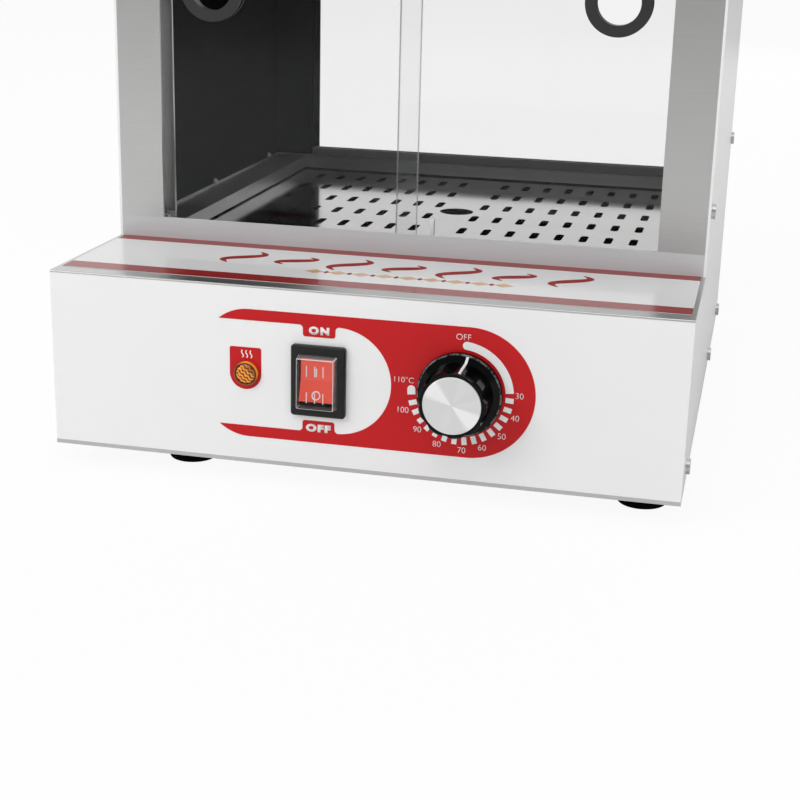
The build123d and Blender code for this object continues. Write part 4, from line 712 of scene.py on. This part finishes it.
def dial_sector(start, end, round_start, round_end):
    """A band of the dial's ring between two angles, either end square or round."""
    middle = (DIAL_INNER + DIAL_OUTER) / 2
    cap = (DIAL_OUTER - DIAL_INNER) / 2
    outline = arc_points(DIAL_OUTER, start, end, 40)
    if round_end:
        cx, cy = arc_points(middle, end, end, 1)[0]
        outline += [(cx + x, cy + y) for x, y in arc_points(cap, end, end - 180, 12)][1:-1]
    outline += arc_points(DIAL_INNER, end, start, 40)
    if round_start:
        cx, cy = arc_points(middle, start, start, 1)[0]
        outline += [(cx + x, cy + y) for x, y in arc_points(cap, start + 180, start, 12)][1:-1]
    return [outline]


def start_group(name, kinds):
    """A geometry node group: itself, a Signal that adds nodes, and its inputs by name."""
    group = bpy.data.node_groups.new(name, "GeometryNodeTree")
    plugs = group.interface
    plugs.new_socket("Geometry", in_out="OUTPUT", socket_type="NodeSocketGeometry")
    for label, kind in kinds.items():
        plugs.new_socket(label, in_out="INPUT", socket_type="NodeSocket" + kind)
    tree = Signal(group)
    return group, tree, {label: tree.node("NodeGroupInput", output=i) for i, label in enumerate(kinds)}


def end_group(tree, instances, finish):
    """Make a group's instances real, give them their finish and let them out."""
    real = tree.node("GeometryNodeRealizeInstances", None, {0: instances})
    done = tree.node("GeometryNodeSetMaterial", None, {"Geometry": real, "Material": finish})
    tree.node("NodeGroupOutput", None, {0: done})


def dial_blocks_tree():
    """Blocks set round a circle: the node tree takes their count, sizes and angles."""
    group, tree, ask = start_group("dial_blocks", {
        "Count": "Int", "Radius": "Float", "First angle": "Float", "Step": "Float",
        "Length": "Float", "Width": "Float", "Thickness": "Float", "Finish": "Material",
    })
    angle = tree.node("GeometryNodeInputIndex") * ask["Step"] + ask["First angle"]
    spot = tree.node("ShaderNodeCombineXYZ", None, {
        0: angle.maths("COSINE", angle) * ask["Radius"], 1: angle.maths("SINE", angle) * ask["Radius"],
    })
    points = tree.node("GeometryNodePoints", None, {"Count": ask["Count"], "Position": spot})
    size = tree.node("ShaderNodeCombineXYZ", None, {
        0: ask["Length"], 1: ask["Width"], 2: ask["Thickness"],
    })
    block = tree.node("GeometryNodeMeshCube", None, {"Size": size})
    turn = tree.node("ShaderNodeCombineXYZ", None, {2: angle})
    blocks = tree.node("GeometryNodeInstanceOnPoints", None, {
        "Points": points, "Instance": block, "Rotation": turn,
    })
    end_group(tree, blocks, ask["Finish"])
    return group


def grow(group, values):
    """The plain mesh that a geometry node tree makes from named values."""
    def attach(maker):
        modifier = maker.modifiers.new("grow", "NODES")
        modifier.node_group = group
        for item in group.interface.items_tree:
            if item.in_out == "INPUT" and item.name in values:
                modifier[item.identifier] = values[item.name]
    return mesh_of(bpy.data.meshes.new("seed"), attach)


def dial_scale(ink):
    """The white arc, blocks and numbers round the knob."""
    dial = centre_of("knob_body")
    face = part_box("control_label")[0].y
    arc = flat_shape(dial_sector(ARC_START, ARC_END, True, False))
    last = flat_shape(dial_sector(LAST_BLOCK_START, LAST_BLOCK_END, False, True))
    blocks = grow(dial_blocks_tree(), {
        "Count": BLOCK_COUNT, "Radius": (DIAL_INNER + DIAL_OUTER) / 2 * MM,
        "First angle": math.radians(BLOCK_FIRST), "Step": math.radians(BLOCK_STEP),
        "Length": (DIAL_OUTER - DIAL_INNER) * MM, "Width": BLOCK_WIDTH * MM,
        "Thickness": 2 * INK * MM, "Finish": ink,
    })
    for name, mesh in (("dial_arc", arc), ("dial_last_block", last), ("dial_blocks", blocks)):
        add_piece(name, on_front(mesh, dial.x, dial.z, face), ink, "body")
    labels = [
        (str(NUMBER_VALUE + NUMBER_RISE * k), NUMBER_FIRST + 2 * BLOCK_STEP * k, NUMBER_RADIUS)
        for k in range(NUMBER_COUNT)
    ]
    numbers = []
    for text, angle, radius in labels + END_LABELS:
        number = word(text, NUMBER_HEIGHT, weight=NUMBER_WEIGHT)
        x, z = arc_points(radius, angle, angle, 1)[0]
        across, up = NUMBER_NUDGES.get(text, (0, 0))
        numbers.append(on_front(number, dial.x + (x + across) * MM, dial.z + (z + up) * MM, face))
    add_piece("dial_numbers", join(numbers), ink, "body")


def switch_words(ink):
    """ON and OFF in the tabs of the red band."""
    middle = centre_of("switch_body")
    tab = middle.x + WORD_SHIFT * MM
    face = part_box("control_label")[0].y
    on = word("ON", WORD_HEIGHT, ON_WIDTH, WORD_WEIGHT, ON_SPACING)
    off = word("OFF", WORD_HEIGHT, OFF_WIDTH, WORD_WEIGHT, OFF_SPACING)
    on_front(on, tab, middle.z + ON_RISE * MM, face)
    on_front(off, tab, middle.z - OFF_DROP * MM, face)
    add_piece("switch_words", join([on, off]), ink, "body")


def stroke(points, width):
    """The closed outline of a line of constant width with square ends."""
    left, right = [], []
    for i, (x, y) in enumerate(points):
        x0, y0 = points[max(i - 1, 0)]
        x1, y1 = points[min(i + 1, len(points) - 1)]
        run = math.hypot(x1 - x0, y1 - y0)
        nx, ny = (y0 - y1) / run, (x1 - x0) / run
        w = width(i / (len(points) - 1)) if callable(width) else width
        left.append((x + nx * w / 2, y + ny * w / 2))
        right.append((x - nx * w / 2, y - ny * w / 2))
    return left + right[::-1]


def heat_waves(ink):
    """Three rising waves over the lamp."""
    lamp = centre_of("lamp_lens")
    steps = 16
    lines = []
    for column in (-1, 0, 1):
        wave = []
        for i in range(steps + 1):
            sway = HEAT_WAVE_SWAY * math.sin(2 * math.pi * i / steps)
            wave.append((column * HEAT_WAVE_PITCH + sway, HEAT_WAVE_HEIGHT * (i / steps - 0.5)))
        lines.append(stroke(wave, HEAT_WAVE_STROKE))
    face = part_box("control_label")[0].y
    waves = on_front(flat_shape(lines), lamp.x, lamp.z + HEAT_RISE * MM, face)
    add_piece("heat_waves", waves, ink, "body")


def rocker_marks(ink):
    """The I and O on the two faces of the rocker."""
    rocker = centre_of("switch_body")
    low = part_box("rocker")[0].y
    bar = [(-MARK_STROKE / 2, y) for y in (-MARK_HEIGHT / 2, 0, MARK_HEIGHT / 2)]
    bar += [(MARK_STROKE / 2, y) for y in (MARK_HEIGHT / 2, 0, -MARK_HEIGHT / 2)]
    ring = [arc_points(MARK_RING + side * MARK_STROKE / 2, 0, 345, 23) for side in (1, -1)]
    marks = []
    for outlines, (across, rise) in (([bar], MARK_PLACES["I"]), (ring, MARK_PLACES["O"])):
        mark = on_front(flat_shape(outlines), rocker.x + across * MM, rocker.z + rise * MM, low)
        marks.append(settle_on(mark, "rocker", low))
    add_piece("rocker_marks", join(marks), ink, "rocker")


# ======================= ledge =======================

def on_ledge(mesh):
    """Lay a flat mesh, drawn back from the front face, on the ledge's film."""
    mesh.transform(Matrix.Translation((0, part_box("front_ledge")[0].y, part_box("ledge_label")[1].z)))
    return mesh


def ledge_stripes(film):
    """The red border stripes on the ledge."""
    low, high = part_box("ledge_label")
    x0, x1 = low.x / MM, high.x / MM
    bands = [[(x0, near), (x1, near), (x1, far), (x0, far)] for near, far in (STRIPE_FRONT, STRIPE_REAR)]
    add_piece("ledge_stripes", on_ledge(flat_shape(bands)), film, "body")


def tapered(t):
    """Width of a brushed stroke along its length, thin at both ends."""
    return STROKE_TIP + STROKE_SWELL * math.sin(math.pi * t) ** 1.2


def ledge_scrolls(film):
    """A row of brushed waves, like rising steam, lying along the ledge."""
    steps = 28
    lines = []
    for column in range(SCROLL_COUNT):
        middle = SCROLL_SHIFT + (column - (SCROLL_COUNT - 1) / 2) * SCROLL_PITCH
        reach = SCROLL_REACHES[column % 2]
        wave = []
        for i in range(steps + 1):
            t = i / steps - 0.5
            across = middle + SCROLL_SWAY * math.sin(2 * math.pi * t) + SCROLL_LEAN * t
            wave.append((across, SCROLL_MIDDLE + 2 * reach * t))
        lines.append(stroke(wave, tapered))
    add_piece("ledge_scrolls", on_ledge(flat_shape(lines)), film, "body")


def lozenge(x, half):
    """The outline of one lozenge of the chain."""
    y = LOZENGE_MIDDLE
    return [(x - half[0], y), (x, y - half[1]), (x + half[0], y), (x, y + half[1])]


def ledge_lozenges(tan, red):
    """A chain of long lozenges under the waves, tan ones between small red ones."""
    tans, reds = [], []
    for column in range(LOZENGE_COUNT):
        x = LOZENGE_SHIFT + (column - (LOZENGE_COUNT - 1) / 2) * LOZENGE_PITCH
        tans.append(lozenge(x, LOZENGE_HALF))
        if column:
            reds.append(lozenge(x - LOZENGE_PITCH / 2, DOT_HALF))
    add_piece("ledge_lozenges", on_ledge(flat_shape(tans)), tan, "body")
    add_piece("ledge_dots", on_ledge(flat_shape(reds)), red, "body")


# ======================= lamp jewel =======================

def lamp_jewel(finish):
    """A shallow domed jewel with wavy ridges under a plain rim."""
    low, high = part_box("lamp_lens")
    centre = (low + high) / 2
    radius = (high.x - low.x) / 2
    depth = high.y - low.y
    shape = bmesh.new()
    rows = []
    for i in range(JEWEL_RINGS):
        out = math.sin(0.5 * math.pi * (1 - i / JEWEL_RINGS)) ** 0.8
        inside = out / JEWEL_DOME
        row = []
        for j in range(JEWEL_SPOKES):
            angle = 2 * math.pi * j / JEWEL_SPOKES
            x, z = radius * out * math.cos(angle), radius * out * math.sin(angle)
            if inside > 1:
                swell = math.sin(math.pi * min(1.0, (1 - out) / (1 - JEWEL_DOME)) ** 0.8)
                height = JEWEL_SHOULDER + JEWEL_RIM * swell
            else:
                down = (x * JEWEL_ACROSS[0] + z * JEWEL_ACROSS[1]) / MM
                along = (x * JEWEL_ACROSS[1] - z * JEWEL_ACROSS[0]) / MM
                sway = JEWEL_SWAY * math.sin(2 * math.pi * along / JEWEL_WAVE)
                ridge = math.cos(2 * math.pi * (down + sway) / JEWEL_PITCH)
                height = JEWEL_SHOULDER + JEWEL_CROWN * math.sqrt(1 - inside * inside)
                height += JEWEL_RIDGE * (1 + ridge) * min(1.0, 6 * (1 - inside))
            row.append(shape.verts.new((centre.x + x, high.y - height * depth, centre.z + z)))
        rows.append(row)
    foot = [shape.verts.new((v.co.x, high.y, v.co.z)) for v in rows[0]]
    tip = shape.verts.new((centre.x, high.y - JEWEL_TIP * depth, centre.z))
    for outer, inner in zip([foot] + rows[:-1], rows):
        for j in range(JEWEL_SPOKES):
            k = (j + 1) % JEWEL_SPOKES
            shape.faces.new((outer[j], outer[k], inner[k], inner[j]))
    for j in range(JEWEL_SPOKES):
        shape.faces.new((rows[-1][j], rows[-1][(j + 1) % JEWEL_SPOKES], tip))
    shape.faces.new(foot[::-1])
    bmesh.ops.recalc_face_normals(shape, faces=shape.faces)
    for face in shape.faces:
        face.smooth = True
    mesh = bpy.data.meshes.new("jewel")
    shape.to_mesh(mesh)
    shape.free()
    piece = add_piece("lamp_jewel", mesh, finish, "body")
    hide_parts("lamp_lens")


# ======================= switch cover ribs =======================

def cover_ribs_tree():
    """Short round-backed ribs set out in columns and two rows."""
    group, tree, ask = start_group("cover_ribs", {
        "Pitch": "Float", "Row gap": "Float", "Length": "Float", "Radius": "Float", "Finish": "Material",
    })
    grid = tree.node("GeometryNodeMeshGrid", None, {
        "Size X": ask["Pitch"] * 2, "Size Y": ask["Row gap"], "Vertices X": 3, "Vertices Y": 2,
    })
    half = tree.node("ShaderNodeCombineXYZ", None, {1: ask["Length"] / 2})
    other = tree.node("ShaderNodeVectorMath", {"operation": "SCALE"}, {0: half, "Scale": -1.0})
    line = tree.node("GeometryNodeCurvePrimitiveLine", None, {"Start": other, "End": half})
    ring = tree.node("GeometryNodeCurvePrimitiveCircle", None, {
        "Resolution": 12, "Radius": ask["Radius"],
    })
    rib = tree.node("GeometryNodeCurveToMesh", None, {
        "Curve": line, "Profile Curve": ring, "Fill Caps": True,
    })
    ribs = tree.node("GeometryNodeInstanceOnPoints", None, {"Points": grid, "Instance": rib})
    end_group(tree, ribs, ask["Finish"])
    return group


def cover_ribs(finish):
    """Six ribs moulded on the inside of the clear cover's front, coloured pale as a painted highlight.
    """
    middle = centre_of("switch_body")
    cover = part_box("switch_cover")
    radius = COVER_RIB_WIDTH / 2 * MM
    mesh = grow(cover_ribs_tree(), {
        "Pitch": COVER_RIB_PITCH * MM, "Row gap": (COVER_RIB_RISES[0] - COVER_RIB_RISES[1]) * MM,
        "Length": COVER_RIB_LENGTH * MM, "Radius": radius, "Finish": finish,
    })
    rise = middle.z + (COVER_RIB_RISES[0] + COVER_RIB_RISES[1]) / 2 * MM
    ribs = on_front(mesh, middle.x, rise, cover[0].y + COVER_SHEET * MM)
    add_piece("cover_ribs", ribs, finish, "body")


# ======================= stage =======================

def studio():
    """Camera, pale floor and soft lights."""
    scene = bpy.context.scene
    look = Vector((-math.sin(TURN_LEFT) * math.cos(LOOK_DOWN),
                   math.cos(TURN_LEFT) * math.cos(LOOK_DOWN), -math.sin(LOOK_DOWN)))
    level = Vector((math.cos(TURN_LEFT), math.sin(TURN_LEFT), 0))
    rise = level.cross(look)
    right = math.cos(ROLL) * level + math.sin(ROLL) * rise
    up = math.cos(ROLL) * rise - math.sin(ROLL) * level
    camera = bpy.data.objects.new("camera", bpy.data.cameras.new("camera"))
    camera.data.lens = LENS
    camera.data.sensor_width = SENSOR
    camera.data.clip_start = 0.01
    camera.matrix_world = Matrix.Translation(EYE) @ Matrix((right, up, -look)).transposed().to_4x4()
    scene.collection.objects.link(camera)
    scene.camera = camera
    scene.view_settings.view_transform = "Standard"

    target = (CAD_BOUNDS[0] + CAD_BOUNDS[1]) / 2
    for name, place, size, power in LIGHTS:
        lamp = bpy.data.lights.new(name, "AREA")
        lamp.size = size
        lamp.energy = power
        holder = bpy.data.objects.new(name, lamp)
        holder.location = place
        holder.rotation_euler = (target - Vector(place)).to_track_quat("-Z", "Y").to_euler()
        holder.visible_glossy = name != "back"
        scene.collection.objects.link(holder)

    world = bpy.data.worlds.new("studio")
    world.use_nodes = True
    world.node_tree.nodes.clear()
    tree = Signal(world.node_tree)
    way = tree.node("ShaderNodeTexCoord", output=0)
    back = tree.node("ShaderNodeSeparateXYZ", None, {0: way}, 1).between(-0.35, 0.25)
    seen = tree.node("ShaderNodeLightPath", output=0)
    glossy = tree.node("ShaderNodeLightPath", output=3)
    through = tree.node("ShaderNodeLightPath", output=6)
    room = back.mix(rgb(0.3, 0.3, 0.3), rgb(1, 1, 1))
    lit = glossy.mix(rgb(0.5, 0.5, 0.5), room)
    shown = seen.maths("MAXIMUM", seen, through).mix(lit, rgb(1, 1, 1))
    sky = tree.node("ShaderNodeBackground", None, {"Color": shown, "Strength": 1.0})
    tree.node("ShaderNodeOutputWorld", None, {"Surface": sky})
    scene.world = world

    floor_mesh = bpy.data.meshes.new("floor")
    corners = [(x * FLOOR_REACH, y * FLOOR_REACH, 0) for x, y in ((-1, -1), (1, -1), (1, 1), (-1, 1))]
    floor_mesh.from_pydata(corners, [], [(0, 1, 2, 3)])
    floor = bpy.data.objects.new("floor", floor_mesh)
    scene.collection.objects.link(floor)
    material, tree = new_finish("pale_floor")
    matt = tree.node("ShaderNodeBsdfDiffuse", None, {"Color": rgb(0.9, 0.9, 0.9)})
    glow = tree.node("ShaderNodeEmission", None, {"Color": rgb(1, 1, 1), "Strength": 1.0})
    camera_ray = tree.node("ShaderNodeLightPath", output=0)
    both = tree.node("ShaderNodeMixShader", None, {0: camera_ray * FLOOR_GLOW, 1: matt, 2: glow})
    tree.node("ShaderNodeOutputMaterial", None, {"Surface": both})
    floor_mesh.materials.append(material)


finishes = make_finishes()
dress_nodes(finishes)
studio()
dial_scale(finishes["white_ink"])
switch_words(finishes["white_ink"])
heat_waves(finishes["white_ink"])
rocker_marks(finishes["white_ink"])
ledge_stripes(finishes["ledge_red"])
ledge_scrolls(finishes["scroll_red"])
ledge_lozenges(finishes["ledge_tan"], finishes["scroll_red"])
cover_ribs(finishes["cover_rib"])
lamp_jewel(finishes["amber_lens"])
